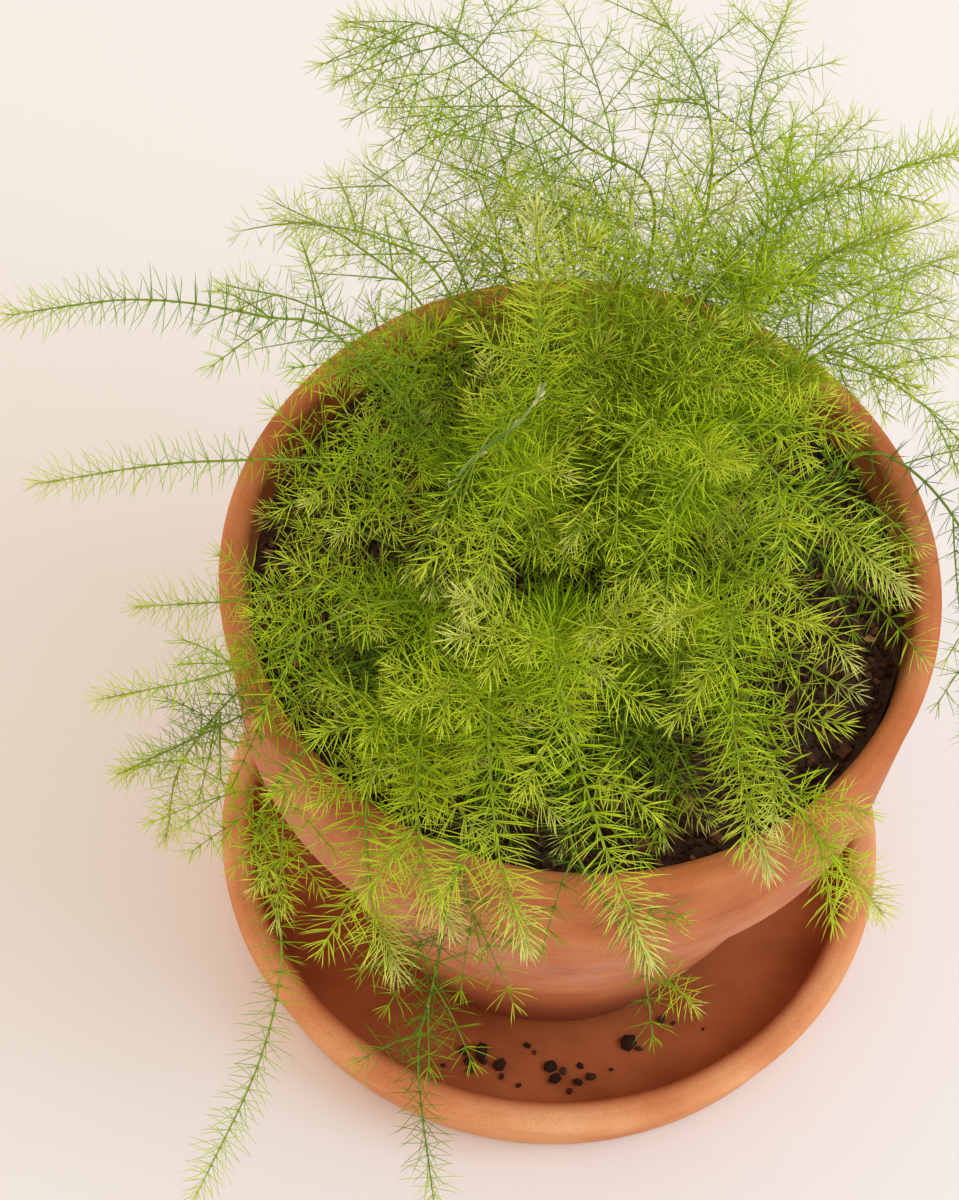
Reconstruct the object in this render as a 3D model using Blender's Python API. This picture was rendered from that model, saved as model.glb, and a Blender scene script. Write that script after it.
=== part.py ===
"""Potted asparagus fern: terracotta pot on a saucer, soil, and arching leafy stems.

Metres, +Z up. The origin is the middle of the saucer's underside.
Each leafy stem is one closed body: its main stem, its side sprays and its needles are fused.
"""
import math
import random

import bmesh
import bpy
import numpy as np
from mathutils import Matrix, Vector

MM = 0.001
SEED = 15
GAP = 0.3 * MM
ROUND_STEPS = 36

# Pot: a 15 cm terracotta pot, measured at the lip
RIM_RADIUS = 75.0 * MM
POT_HEIGHT = 126.5 * MM
COLLAR_HEIGHT = 40.0 * MM
COLLAR_FOOT_RADIUS = 71.5 * MM
COLLAR_STEP = 2.4 * MM
COLLAR_EDGE = 0.7 * MM
POT_FOOT_RADIUS = 44.0 * MM
POT_WALL = 5.8 * MM
POT_FLOOR = 8.0 * MM
LIP_ROUND = 2.4 * MM
FOOT_ROUND = 1.5 * MM
DRAIN_RADIUS = 7.0 * MM

# Saucer
SAUCER_RADIUS = 76.0 * MM
SAUCER_FOOT_RADIUS = 72.0 * MM
SAUCER_HEIGHT = 19.5 * MM
SAUCER_WALL = 7.5 * MM
SAUCER_FLOOR = 6.0 * MM
SAUCER_ROUND = 2.6 * MM
SAUCER_COVE = 3.0 * MM
COVE_START = -20

POT_BASE = SAUCER_FLOOR + GAP
RIM_TOP = POT_BASE + POT_HEIGHT
COLLAR_FOOT = RIM_TOP - COLLAR_HEIGHT

# Soil, its lumps and the holes that the stems stand in
SOIL_TOP = RIM_TOP - 11.0 * MM
SOIL_LUMP = 1.1 * MM
SOIL_RINGS = 4
LONG_LUMPS = 160.0
SHORT_LUMPS = 310.0
ROOT_DEPTH = 9.0 * MM
HOLE_SIDES = 5

# Main stems: upright as they leave the soil, with needles past their bare lower part
STEM_FOOT_RADIUS = 1.15 * MM
STEM_TIP_RADIUS = 0.5 * MM
STEM_SIDES = 4
STEM_RINGS = 7
STEM_UPRIGHT = 3.5 * MM
STEM_BEND = 6.0 * MM
STEM_BARE = 0.42
POINT_LENGTH = 5.0 * MM
CURVE_STEPS = 12

# Side sprays: shares are along the main stem, angles are turned round it from straight up
SPRAY_FOOT_RADIUS = 0.64 * MM
SPRAY_TIP_RADIUS = 0.5 * MM
SPRAY_SIDES = 3
SPRAY_RINGS = 3
SPRAY_FIRST = 0.36
SPRAY_LEAN = math.radians(50)
SPRAY_DROOP = 0.16
SPRAY_INWARD = 0.12
SPRAY_SHORTEST = 15.0 * MM
SPRAY_TAPER = 0.55
SPRAY_ROLL = 78
SPRAY_ROLL_STEP = 16
SPRAY_ROLL_SWAY = 10
SPRAY_BARE = 0.2

# Needles, at the real plant's size
NEEDLE_LENGTH = 8.0 * MM
NEEDLE_RADIUS = 0.33 * MM
NEEDLE_SIDES = 3
NEEDLE_LEAN = math.radians(46)
NEEDLE_STEP = 11.0 * MM
NEEDLE_SWAY = math.radians(8)
FEWEST_NEEDLES = 3

# Room kept between neighbours, and how often a spray or needle is turned to find it
CLEARANCE = 0.35 * MM
TRIES = 9
ROLL_CHOICES = 5
TINY = 1e-18

# One row for each stem: name, root as (azimuth, reach), way points as (azimuth, reach, height),
# number of side sprays, the longest one, the length of the unbranched end, and the stem's green.
# Degrees and millimetres.
LEAFY_STEMS = (
    ("stem_back_plume", (96, 17),
     ((84, 58, 179), (98, 74, 180), (108, 97, 174), (112, 124, 161), (118, 139, 150)),
     5, 44, 18, "old"),
    ("stem_back_middle", (78, 22), ((75, 62, 176), (82, 94, 177), (90, 137, 152)), 5, 36, 18, "old"),
    ("stem_back_right", (58, 29), ((66, 72, 166), (76, 98, 168), (78, 146, 150)), 5, 36, 20, "old"),
    ("stem_back_low", (66, 38), ((66, 74, 152), (69, 104, 148), (69, 133, 136)), 4, 30, 22, "old"),
    ("stem_right_high", (55, 11), ((60, 40, 196), (50, 70, 203), (47, 107, 191)), 4, 34, 40, "fresh"),
    ("stem_right_upper", (40, 16), ((49, 46, 186), (47, 84, 182)), 4, 30, 35, "fresh"),
    ("stem_right_back", (46, 33), ((51, 70, 152), (53, 100, 138), (54, 134, 116)), 4, 34, 25, "old"),
    ("stem_right_middle", (34, 24), ((40, 52, 170), (29, 70, 162), (21, 88, 140)), 4, 32, 22, "fresh"),
    ("stem_right_over_rim", (24, 36), ((27, 64, 146), (12, 84, 126), (-1, 91, 76)), 4, 30, 35, "old"),
    ("stem_front_bright", (4, 10), ((24, 20, 183), (-8, 40, 180), (-13, 66, 163)), 4, 34, 36, "fresh"),
    ("stem_front_arch", (-22, 13), ((-18, 24, 174), (-26, 44, 169), (-25, 61, 152)), 4, 28, 30, "fresh"),
    ("stem_front_long", (-52, 19), ((-46, 40, 172), (-56, 60, 158), (-57, 80, 138)), 4, 28, 45, "fresh"),
    ("stem_front_right", (-44, 32), ((-51, 60, 153), (-49, 78, 143), (-42, 92, 116)), 4, 24, 30, "fresh"),
    ("stem_inner_right", (-18, 25), ((-28, 33, 146), (-22, 47, 138), (-19, 62, 131)), 4, 22, 20, "fresh"),
    ("stem_inner_front", (-68, 24), ((-60, 32, 146), (-66, 46, 139), (-69, 63, 131)), 4, 22, 40, "old"),
    ("stem_olive_right", (4, 32), ((6, 46, 144), (-2, 60, 138), (-10, 72, 136)), 3, 22, 25, "old"),
    ("stem_over_front", (-92, 12), ((-95, 44, 176), (-84, 74, 166), (-77, 97, 148)), 5, 30, 40, "fresh"),
    ("stem_front_left", (-108, 18), ((-107, 50, 166), (-97, 79, 157), (-91, 90, 138)), 4, 28, 28, "fresh"),
    ("stem_front_left_low", (-122, 26), ((-117, 58, 156), (-108, 80, 149), (-101, 88, 134)), 4, 26, 24, "fresh"),
    ("stem_left_hook", (-118, 36), ((-121, 68, 147), (-113, 86, 134), (-107, 91, 113)), 4, 24, 26, "fresh"),
    ("stem_front_dark", (-80, 33), ((-87, 66, 144), (-77, 81, 126), (-68, 88, 104)), 4, 22, 22, "old"),
    ("stem_front_trailing", (-98, 36), ((-103, 72, 141), (-103, 87, 106), (-103, 94, 82), (-98, 107, 44)),
     4, 24, 50, "old"),
    ("stem_left_long", (-176, 10), ((171, 50, 191), (173, 68, 198), (175, 92, 199), (175, 119, 185)),
     5, 30, 58, "fresh"),
    ("stem_left_second", (-172, 20), ((-173, 44, 168), (-176, 78, 165), (-177, 112, 150)), 4, 26, 62, "fresh"),
    ("stem_left_third", (-155, 25), ((-152, 52, 156), (-156, 70, 153), (-164, 92, 139)), 4, 22, 34, "fresh"),
    ("stem_left_pale", (-143, 17), ((-139, 52, 166), (-144, 80, 157), (-153, 104, 138)), 4, 24, 34, "fresh"),
    ("stem_left_dark", (-137, 26), ((-137, 62, 153), (-142, 84, 143), (-149, 102, 119)), 4, 24, 30, "old"),
    ("stem_left_low", (-147, 34), ((-147, 68, 145), (-146, 90, 126), (-143, 98, 104)), 4, 22, 22, "fresh"),
    ("stem_left_trailing", (-131, 37),
     ((-132, 74, 143), (-130, 90, 128), (-121, 98, 114), (-117, 115, 98), (-117, 138, 72)),
     5, 26, 85, "fresh"),
    ("stem_top_left", (140, 22), ((134, 48, 176), (137, 68, 176), (141, 90, 164)), 4, 30, 20, "fresh"),
    ("stem_crown", (140, 5), ((150, 14, 184), (128, 24, 203), (116, 40, 206)), 4, 26, 18, "fresh"),
    ("stem_centre", (-130, 7), ((-140, 18, 186), (-122, 32, 188), (-119, 44, 172)), 4, 24, 22, "fresh"),
)

# Colour, roughness and metallic value of each finish
FINISHES = {
    "terracotta": ((0.50, 0.18, 0.075), 0.82, 0.0),
    "saucer_clay": ((0.55, 0.21, 0.09), 0.80, 0.0),
    "soil": ((0.022, 0.012, 0.008), 0.95, 0.0),
    "fresh": ((0.27, 0.45, 0.03), 0.50, 0.0),
    "old": ((0.13, 0.28, 0.03), 0.50, 0.0),
}


def clear_scene():
    """Remove every object, so that the script can run again in an open file."""
    for item in list(bpy.data.objects):
        bpy.data.objects.remove(item, do_unlink=True)


def finish_of(name, node):
    """The node's own material."""
    colour, roughness, metallic = FINISHES[name]
    material = bpy.data.materials.new(node + "_" + name)
    material.use_nodes = True
    shader = material.node_tree.nodes["Principled BSDF"]
    shader.inputs["Base Color"].default_value = (*colour, 1.0)
    shader.inputs["Roughness"].default_value = roughness
    shader.inputs["Metallic"].default_value = metallic
    return material


def object_from(shape, name, finish=None):
    """Turn a bmesh into an object in the scene."""
    mesh = bpy.data.meshes.new(name)
    shape.to_mesh(mesh)
    shape.free()
    item = bpy.data.objects.new(name, mesh)
    bpy.context.scene.collection.objects.link(item)
    if finish:
        mesh.materials.append(finish_of(finish, name))
    return item


def smooth_round(item, angle=35):
    """Shade round faces smooth and keep real edges sharp."""
    item.data.shade_smooth()
    item.data.set_sharp_from_angle(angle=math.radians(angle))


def arc(middle, radius, start, stop, steps):
    """Points on an arc in the profile plane, as (radius, height) pairs. Angles in degrees."""
    angles = (math.radians(start + (stop - start) * step / steps) for step in range(steps + 1))
    return [(middle[0] + radius * math.cos(a), middle[1] + radius * math.sin(a)) for a in angles]


def turned(profile, closed):
    """Turn a profile of (radius, height) pairs round the Z axis into a closed body."""
    shape = bmesh.new()
    points = [shape.verts.new((radius, 0.0, height)) for radius, height in profile]
    edges = [shape.edges.new(pair) for pair in zip(points, points[1:])]
    if closed:
        edges.append(shape.edges.new((points[-1], points[0])))
    bmesh.ops.spin(shape, geom=points + edges, axis=(0, 0, 1), cent=(0, 0, 0),
                   angle=math.tau, steps=ROUND_STEPS, use_merge=True)
    bmesh.ops.remove_doubles(shape, verts=shape.verts, dist=0.00001)
    bmesh.ops.recalc_face_normals(shape, faces=shape.faces)
    return shape


def pot_outer_radius(height):
    """Outer radius of the pot's wall at a height."""
    if height >= COLLAR_FOOT:
        share = (height - COLLAR_FOOT) / COLLAR_HEIGHT
        return COLLAR_FOOT_RADIUS + (RIM_RADIUS - COLLAR_FOOT_RADIUS) * share
    share = (height - POT_BASE) / (COLLAR_FOOT - POT_BASE)
    shoulder = COLLAR_FOOT_RADIUS - COLLAR_STEP
    return POT_FOOT_RADIUS + (shoulder - POT_FOOT_RADIUS) * share


def pot_inner_radius(height):
    """Inner radius of the pot's wall at a height, with the step kept inside as well."""
    return pot_outer_radius(height) - POT_WALL


def build_pot():
    """A thrown pot: rounded lip, tall collar, tapered body and a drainage hole in the floor."""
    floor = POT_BASE + POT_FLOOR
    lip = RIM_TOP - LIP_ROUND
    outer_lip = arc((RIM_RADIUS - LIP_ROUND, lip), LIP_ROUND, 0, 90, 2)
    inner_lip = arc((RIM_RADIUS - POT_WALL + LIP_ROUND, lip), LIP_ROUND, 90, 180, 2)
    shoulder = COLLAR_FOOT - COLLAR_STEP
    profile = [
        (DRAIN_RADIUS, POT_BASE),
        (POT_FOOT_RADIUS - FOOT_ROUND, POT_BASE),
        (POT_FOOT_RADIUS, POT_BASE + FOOT_ROUND),
        (pot_outer_radius(shoulder), shoulder),
        (COLLAR_FOOT_RADIUS - COLLAR_EDGE, COLLAR_FOOT - COLLAR_EDGE),
        (COLLAR_FOOT_RADIUS, COLLAR_FOOT + COLLAR_EDGE),
    ]
    profile += outer_lip + inner_lip
    profile += [
        (COLLAR_FOOT_RADIUS - POT_WALL, COLLAR_FOOT),
        (pot_inner_radius(shoulder), shoulder),
        (pot_inner_radius(floor + FOOT_ROUND), floor + FOOT_ROUND),
        (pot_inner_radius(floor) - FOOT_ROUND, floor),
        (DRAIN_RADIUS, floor),
    ]
    item = object_from(turned(profile, closed=True), "pot", "terracotta")
    smooth_round(item)


def build_saucer():
    """A deep dish with a flat underside, a nearly upright wall and a thick rounded lip."""
    lip = SAUCER_HEIGHT - SAUCER_ROUND
    inner_radius = SAUCER_RADIUS - SAUCER_WALL
    cove_radius = inner_radius - SAUCER_COVE
    profile = [
        (0.0, 0.0),
        (SAUCER_FOOT_RADIUS - SAUCER_ROUND, 0.0),
        (SAUCER_FOOT_RADIUS, SAUCER_ROUND),
    ]
    profile += arc((SAUCER_RADIUS - SAUCER_ROUND, lip), SAUCER_ROUND, 0, 90, 2)
    profile += arc((inner_radius + SAUCER_ROUND, lip), SAUCER_ROUND, 90, 180, 2)
    profile += arc((cove_radius, SAUCER_FLOOR + SAUCER_COVE), SAUCER_COVE, COVE_START, -90, 2)
    profile.append((0.0, SAUCER_FLOOR))
    item = object_from(turned(profile, closed=False), "saucer", "saucer_clay")
    smooth_round(item)


def soil_height(x, y):
    """Height of the soil's lumpy top, which is level near the wall."""
    share = min(1.0, math.hypot(x, y) / pot_inner_radius(SOIL_TOP))
    wave = math.sin(LONG_LUMPS * x + 1) * math.cos(LONG_LUMPS * y) + 0.6 * math.sin(SHORT_LUMPS * (x - y))
    return SOIL_TOP + SOIL_LUMP * wave * (1 - share ** 4)


def build_soil(roots):
    """Soil that fills the pot, with a lumpy top and a plain hole for each stem."""
    floor = POT_BASE + POT_FLOOR + GAP
    edge = [
        (0.0, floor),
        (pot_inner_radius(floor) - FOOT_ROUND - GAP, floor),
        (pot_inner_radius(floor + FOOT_ROUND) - GAP, floor + FOOT_ROUND),
        (pot_inner_radius(COLLAR_FOOT - COLLAR_STEP) - GAP, COLLAR_FOOT - COLLAR_STEP),
        (COLLAR_FOOT_RADIUS - POT_WALL - GAP, COLLAR_FOOT),
    ]
    top_radius = pot_inner_radius(SOIL_TOP) - GAP
    rings = [(top_radius * (SOIL_RINGS - ring) / SOIL_RINGS, SOIL_TOP) for ring in range(SOIL_RINGS + 1)]
    shape = turned(edge + rings, closed=False)
    for point in shape.verts:
        if point.co.z > SOIL_TOP - GAP:
            point.co.z = soil_height(point.co.x, point.co.y)
    item = object_from(shape, "soil", "soil")
    holes = bpy.data.collections.new("stem_holes")
    bpy.context.scene.collection.children.link(holes)
    radius = (STEM_FOOT_RADIUS + GAP) / math.cos(math.pi / HOLE_SIDES)
    for root in roots:
        depth = 2 * (ROOT_DEPTH + GAP)
        shape = bmesh.new()
        bmesh.ops.create_cone(shape, cap_ends=True, segments=HOLE_SIDES, radius1=radius, radius2=radius,
                              depth=depth, matrix=Matrix.Translation((root.x, root.y, SOIL_TOP)))
        mesh = bpy.data.meshes.new("stem_hole")
        shape.to_mesh(mesh)
        shape.free()
        holes.objects.link(bpy.data.objects.new("stem_hole", mesh))
    apply_boolean(item, holes, "DIFFERENCE", "EXACT")


def apply_boolean(item, operands, operation, solver):
    """Cut or join an object with a collection, apply it, and remove the collection's objects."""
    boolean = item.modifiers.new("boolean", "BOOLEAN")
    boolean.operand_type = "COLLECTION"
    boolean.collection = operands
    boolean.operation = operation
    boolean.solver = solver
    bpy.context.view_layer.update()
    result = item.evaluated_get(bpy.context.evaluated_depsgraph_get())
    mesh = bpy.data.meshes.new_from_object(result)
    item.modifiers.remove(boolean)
    item.data = mesh
    for operand in list(operands.objects):
        bpy.data.objects.remove(operand, do_unlink=True)
    bpy.data.collections.remove(operands)


def polar(azimuth, reach, height):
    """A point from its direction round the pot, its distance from the axis and its height."""
    angle = math.radians(azimuth)
    return Vector((reach * math.cos(angle), reach * math.sin(angle), height))


def smooth_path(points, count):
    """Points spaced evenly on one smooth curve through the given points."""
    guide = [2 * points[0] - points[1]] + list(points) + [2 * points[-1] - points[-2]]
    fine = []
    for before, start, stop, after in zip(guide, guide[1:], guide[2:], guide[3:]):
        for step in range(CURVE_STEPS):
            t = step / CURVE_STEPS
            fine.append(0.5 * (2 * start + (stop - before) * t
                               + (2 * before - 5 * start + 4 * stop - after) * t ** 2
                               + (3 * start - before - 3 * stop + after) * t ** 3))
    fine.append(points[-1].copy())
    return resample(fine, count)


def resample(points, count):
    """The same path with evenly spaced points."""
    lengths = [0.0]
    for start, stop in zip(points, points[1:]):
        lengths.append(lengths[-1] + (stop - start).length)
    path = []
    index = 0
    for step in range(count):
        wanted = lengths[-1] * step / (count - 1)
        while index < len(points) - 2 and lengths[index + 1] < wanted:
            index += 1
        share = (wanted - lengths[index]) / (lengths[index + 1] - lengths[index])
        path.append(points[index].lerp(points[index + 1], share))
    return path


def path_length(path):
    """Length along a path."""
    return sum((stop - start).length for start, stop in zip(path, path[1:]))


def at_share(path, share):
    """Point and direction at a share of an evenly spaced path."""
    place = min(max(share, 0.0), 0.9999) * (len(path) - 1)
    index = int(place)
    direction = (path[index + 1] - path[index]).normalized()
    return path[index].lerp(path[index + 1], place - index), direction


def side_of(direction, roll):
    """A unit vector square to a direction, turned round it by roll from straight up."""
    level = direction.cross(Vector((0, 0, 1)))
    if level.length < 0.05:
        level = Vector((1, 0, 0)) - direction * direction.x
    level.normalize()
    upward = level.cross(direction)
    return upward * math.cos(roll) + level * math.sin(roll)


class Room:
    """Where stems, sprays and needles lie, to keep those of one stem clear of the others."""

    def __init__(self):
        self.starts = np.empty((0, 3))
        self.stops = np.empty((0, 3))
        self.radii = np.empty(0)
        self.owners = np.empty(0, dtype=int)

    def add(self, path, radius, owner):
        """Remember a path's segments."""
        points = np.array([tuple(point) for point in path])
        count = len(points) - 1
        self.starts = np.vstack([self.starts, points[:-1]])
        self.stops = np.vstack([self.stops, points[1:]])
        self.radii = np.append(self.radii, np.full(count, radius))
        self.owners = np.append(self.owners, np.full(count, owner, dtype=int))

    def is_clear(self, path, radius, owner):
        """Whether a path keeps its distance from the other stems, the pot, the soil and the saucer."""
        others = self.owners != owner
        reach = self.radii[others] + radius + CLEARANCE
        for start, stop in zip(path, path[1:]):
            gaps = segment_gaps(np.array(start), np.array(stop), self.starts[others], self.stops[others])
            if gaps.size and np.any(gaps < reach):
                return False
            for share in (0.0, 0.5, 1.0):
                if not clear_of_pot(start.lerp(stop, share), radius):
                    return False
        return True


def segment_gaps(start, stop, starts, stops):
    """Shortest distance from one segment to each of many."""
    one = stop - start
    many = stops - starts
    between = start - starts
    one_squared = max(float(one @ one), TINY)
    many_squared = np.maximum(np.einsum("ij,ij->i", many, many), TINY)
    along_many = np.einsum("ij,ij->i", many, between)
    along_one = between @ one
    shared = many @ one
    spread = one_squared * many_squared - shared * shared
    crossing = (shared * along_many - along_one * many_squared) / np.maximum(spread, TINY)
    on_one = np.where(spread > TINY, np.clip(crossing, 0, 1), 0.0)
    on_many = np.clip((shared * on_one + along_many) / many_squared, 0, 1)
    on_one = np.clip((shared * on_many - along_one) / one_squared, 0, 1)
    return np.linalg.norm(between + on_one[:, None] * one - on_many[:, None] * many, axis=1)


def clear_of_pot(point, radius):
    """Whether a point of a stem keeps clear of the soil, the pot and the saucer's room."""
    reach = math.hypot(point.x, point.y)
    margin = radius + CLEARANCE
    if point.z > RIM_TOP + margin:
        return True
    if reach < pot_inner_radius(point.z) - margin:
        return point.z > SOIL_TOP + 2 * SOIL_LUMP + margin
    if point.z < SAUCER_HEIGHT + margin:
        return reach > SAUCER_RADIUS + margin
    return reach > max(pot_outer_radius(point.z), RIM_RADIUS) + margin


def tube(path, foot_radius, tip_radius, sides):
    """A tapering tube along a path, with a flat foot and a pointed tip."""
    shape = bmesh.new()
    rings = []
    across = side_of((path[1] - path[0]).normalized(), 0.0)
    for index, point in enumerate(path[:-1]):
        onward = (path[index + 1] - path[max(index - 1, 0)]).normalized()
        across = (across - onward * across.dot(onward)).normalized()
        beside = onward.cross(across)
        radius = foot_radius + (tip_radius - foot_radius) * index / max(len(path) - 2, 1)
        ring = []
        for side in range(sides):
            angle = math.tau * side / sides
            outward = across * math.cos(angle) + beside * math.sin(angle)
            ring.append(shape.verts.new(point + radius * outward))
        rings.append(ring)
    tip = shape.verts.new(path[-1])
    shape.faces.new(list(reversed(rings[0])))
    for lower, upper in zip(rings, rings[1:]):
        for side in range(sides):
            following = (side + 1) % sides
            shape.faces.new((lower[side], lower[following], upper[following], upper[side]))
    for side in range(sides):
        shape.faces.new((rings[-1][side], rings[-1][(side + 1) % sides], tip))
    bmesh.ops.recalc_face_normals(shape, faces=shape.faces)
    return shape


def pointed(path):
    """The path with one more place just before its tip, so that a core stays stout up to its point."""
    back = (path[-2] - path[-1]).normalized()
    return path[:-1] + [path[-1] + back * POINT_LENGTH, path[-1]]


def main_path(row):
    """The arching line of a main stem, from its foot in the soil to its tip."""
    root, way = row[1], row[2]
    foot = polar(root[0], root[1] * MM, SOIL_TOP - ROOT_DEPTH)
    upright = foot + Vector((0, 0, ROOT_DEPTH + STEM_UPRIGHT))
    points = [upright, upright + Vector((0, 0, STEM_BEND))]
    points += [polar(azimuth, reach * MM, height * MM) for azimuth, reach, height in way]
    return foot, smooth_path(points, STEM_RINGS)


def spray_path(stem, share, roll, length):
    """A side spray that leaves the stem at a slant and bends down towards its tip."""
    foot, onward = at_share(stem, share)
    aside = side_of(onward, roll)
    heading = onward * math.cos(SPRAY_LEAN) + aside * math.sin(SPRAY_LEAN)
    path = []
    for step in range(SPRAY_RINGS):
        part = step / (SPRAY_RINGS - 1)
        drop = Vector((0, 0, -SPRAY_DROOP * length * part ** 2))
        inward = onward * (SPRAY_INWARD * length * part ** 2)
        path.append(foot + heading * length * part + drop + inward)
    return path


def side_sprays(index, row, stem, room):
    """Side sprays left and right in turn, each shorter than the last and bent clear of other stems."""
    name, count, longest, end = row[0], row[3], row[4] * MM, row[5] * MM
    last = 1 - end / path_length(stem)
    paths = []
    for number in range(count):
        chance = random.Random(name + str(number))
        part = number / max(count - 1, 1)
        share = SPRAY_FIRST + (last - SPRAY_FIRST) * part
        length = max(longest * (1 - SPRAY_TAPER * part) * chance.uniform(0.88, 1.08), SPRAY_SHORTEST)
        side = 1 if number % 2 else -1
        for attempt in range(TRIES):
            sway = chance.uniform(-SPRAY_ROLL_SWAY, SPRAY_ROLL_SWAY)
            turn = SPRAY_ROLL - SPRAY_ROLL_STEP * (attempt % ROLL_CHOICES) + sway
            trial = spray_path(stem, share, math.radians(side * turn), length * (1 - 0.05 * attempt))
            if room.is_clear(trial[1:], SPRAY_FOOT_RADIUS, index):
                room.add(trial, SPRAY_FOOT_RADIUS, index)
                paths.append(trial)
                break
    return paths


def needle_path(core, share, roll, lean, length):
    """A needle from inside its core outwards, leaning to the tip."""
    foot, onward = at_share(core, share)
    heading = onward * math.cos(lean) + side_of(onward, roll) * math.sin(lean)
    return [foot, foot + heading * length]


def needles_on(index, core, sides, first, room, chance):
    """Needles on the core's flats in turn, up to its point, each turned clear of other stems."""
    length = path_length(core)
    last = 1 - POINT_LENGTH / length
    count = max(FEWEST_NEEDLES, round(length * (1 - first) / NEEDLE_STEP))
    flat = chance.randrange(sides)
    paths = []
    for number in range(count):
        share = first + (last - first) * number / (count - 1)
        size = NEEDLE_LENGTH * chance.uniform(0.9, 1.1) * (1 - 0.2 * share)
        flat += 1
        for attempt in range(TRIES):
            roll = math.tau * (flat + attempt + 0.5) / sides + chance.uniform(-NEEDLE_SWAY, NEEDLE_SWAY)
            lean = NEEDLE_LEAN * (1 - 0.25 * share + 0.12 * (attempt // sides))
            trial = needle_path(core, share, roll, lean, size)
            outer = [trial[0].lerp(trial[1], 0.12), trial[1]]
            if room.is_clear(outer, NEEDLE_RADIUS, index):
                room.add(trial, NEEDLE_RADIUS, index)
                paths.append(trial)
                break
    return paths


def largest_body(item):
    """Keep the biggest connected shell: loose scraps and sealed hollows go."""
    shape = bmesh.new()
    shape.from_mesh(item.data)
    waiting = set(shape.verts)
    shells = []
    while waiting:
        shell = set()
        front = [waiting.pop()]
        while front:
            point = front.pop()
            shell.add(point)
            for edge in point.link_edges:
                other = edge.other_vert(point)
                if other in waiting:
                    waiting.remove(other)
                    front.append(other)
        shells.append(shell)
    shells.sort(key=len)
    for shell in shells[:-1]:
        bmesh.ops.delete(shape, geom=list(shell), context="VERTS")
    bmesh.ops.triangulate(shape, faces=shape.faces)
    shape.to_mesh(item.data)
    shape.free()


def build_leafy_stem(row, foot, stem, sprays, needles):
    """Fuse a main stem, its side sprays and its needles into one body."""
    name, finish = row[0], row[-1]
    rooted = [foot] + stem
    item = object_from(tube(pointed(rooted), STEM_FOOT_RADIUS, STEM_TIP_RADIUS, STEM_SIDES), name)
    joined = bpy.data.collections.new(name + "_repeats")
    bpy.context.scene.collection.children.link(joined)
    shapes = [tube(pointed(path), SPRAY_FOOT_RADIUS, SPRAY_TIP_RADIUS, SPRAY_SIDES) for path in sprays]
    shapes += [tube(path, NEEDLE_RADIUS, NEEDLE_RADIUS, NEEDLE_SIDES) for path in needles]
    for shape in shapes:
        mesh = bpy.data.meshes.new("repeat")
        shape.to_mesh(mesh)
        shape.free()
        joined.objects.link(bpy.data.objects.new("repeat", mesh))
    apply_boolean(item, joined, "UNION", "MANIFOLD")
    largest_body(item)
    item.data.materials.clear()
    item.data.materials.append(finish_of(finish, name))


def build_plant():
    """Lay out every main stem first, then the sprays, then the needles, and build each stem."""
    chance = random.Random(SEED)
    room = Room()
    stems = [main_path(row) for row in LEAFY_STEMS]
    for index, (foot, stem) in enumerate(stems):
        room.add([foot] + stem, STEM_FOOT_RADIUS, index)
    sprays = [side_sprays(index, row, stems[index][1], room) for index, row in enumerate(LEAFY_STEMS)]
    for index, row in enumerate(LEAFY_STEMS):
        foot, stem = stems[index]
        needles = needles_on(index, stem, STEM_SIDES, STEM_BARE, room, chance)
        for spray in sprays[index]:
            needles += needles_on(index, spray, SPRAY_SIDES, SPRAY_BARE, room, chance)
        build_leafy_stem(row, foot, stem, sprays[index], needles)
    return [foot for foot, stem in stems]


clear_scene()
build_pot()
build_saucer()
roots = build_plant()
build_soil(roots)
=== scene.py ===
import math
import random
from functools import partial

import bpy
import numpy as np
from mathutils import Matrix, Vector, noise


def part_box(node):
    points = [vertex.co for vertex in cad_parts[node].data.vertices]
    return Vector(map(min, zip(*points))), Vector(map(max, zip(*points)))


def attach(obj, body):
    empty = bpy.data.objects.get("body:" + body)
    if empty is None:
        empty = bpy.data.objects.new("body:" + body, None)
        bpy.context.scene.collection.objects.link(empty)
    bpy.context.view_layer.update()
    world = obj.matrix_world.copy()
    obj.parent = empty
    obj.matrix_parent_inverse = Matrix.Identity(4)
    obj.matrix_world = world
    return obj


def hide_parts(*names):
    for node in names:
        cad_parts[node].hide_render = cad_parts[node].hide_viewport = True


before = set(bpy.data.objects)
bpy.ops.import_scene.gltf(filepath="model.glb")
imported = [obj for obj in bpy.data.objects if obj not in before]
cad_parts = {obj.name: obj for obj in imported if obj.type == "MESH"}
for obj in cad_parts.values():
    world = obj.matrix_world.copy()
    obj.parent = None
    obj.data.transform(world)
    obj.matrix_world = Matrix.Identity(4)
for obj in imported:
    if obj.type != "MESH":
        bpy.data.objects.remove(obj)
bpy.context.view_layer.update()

MM = 0.001
SEED = 15
ROUND_STEPS = 144

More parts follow.
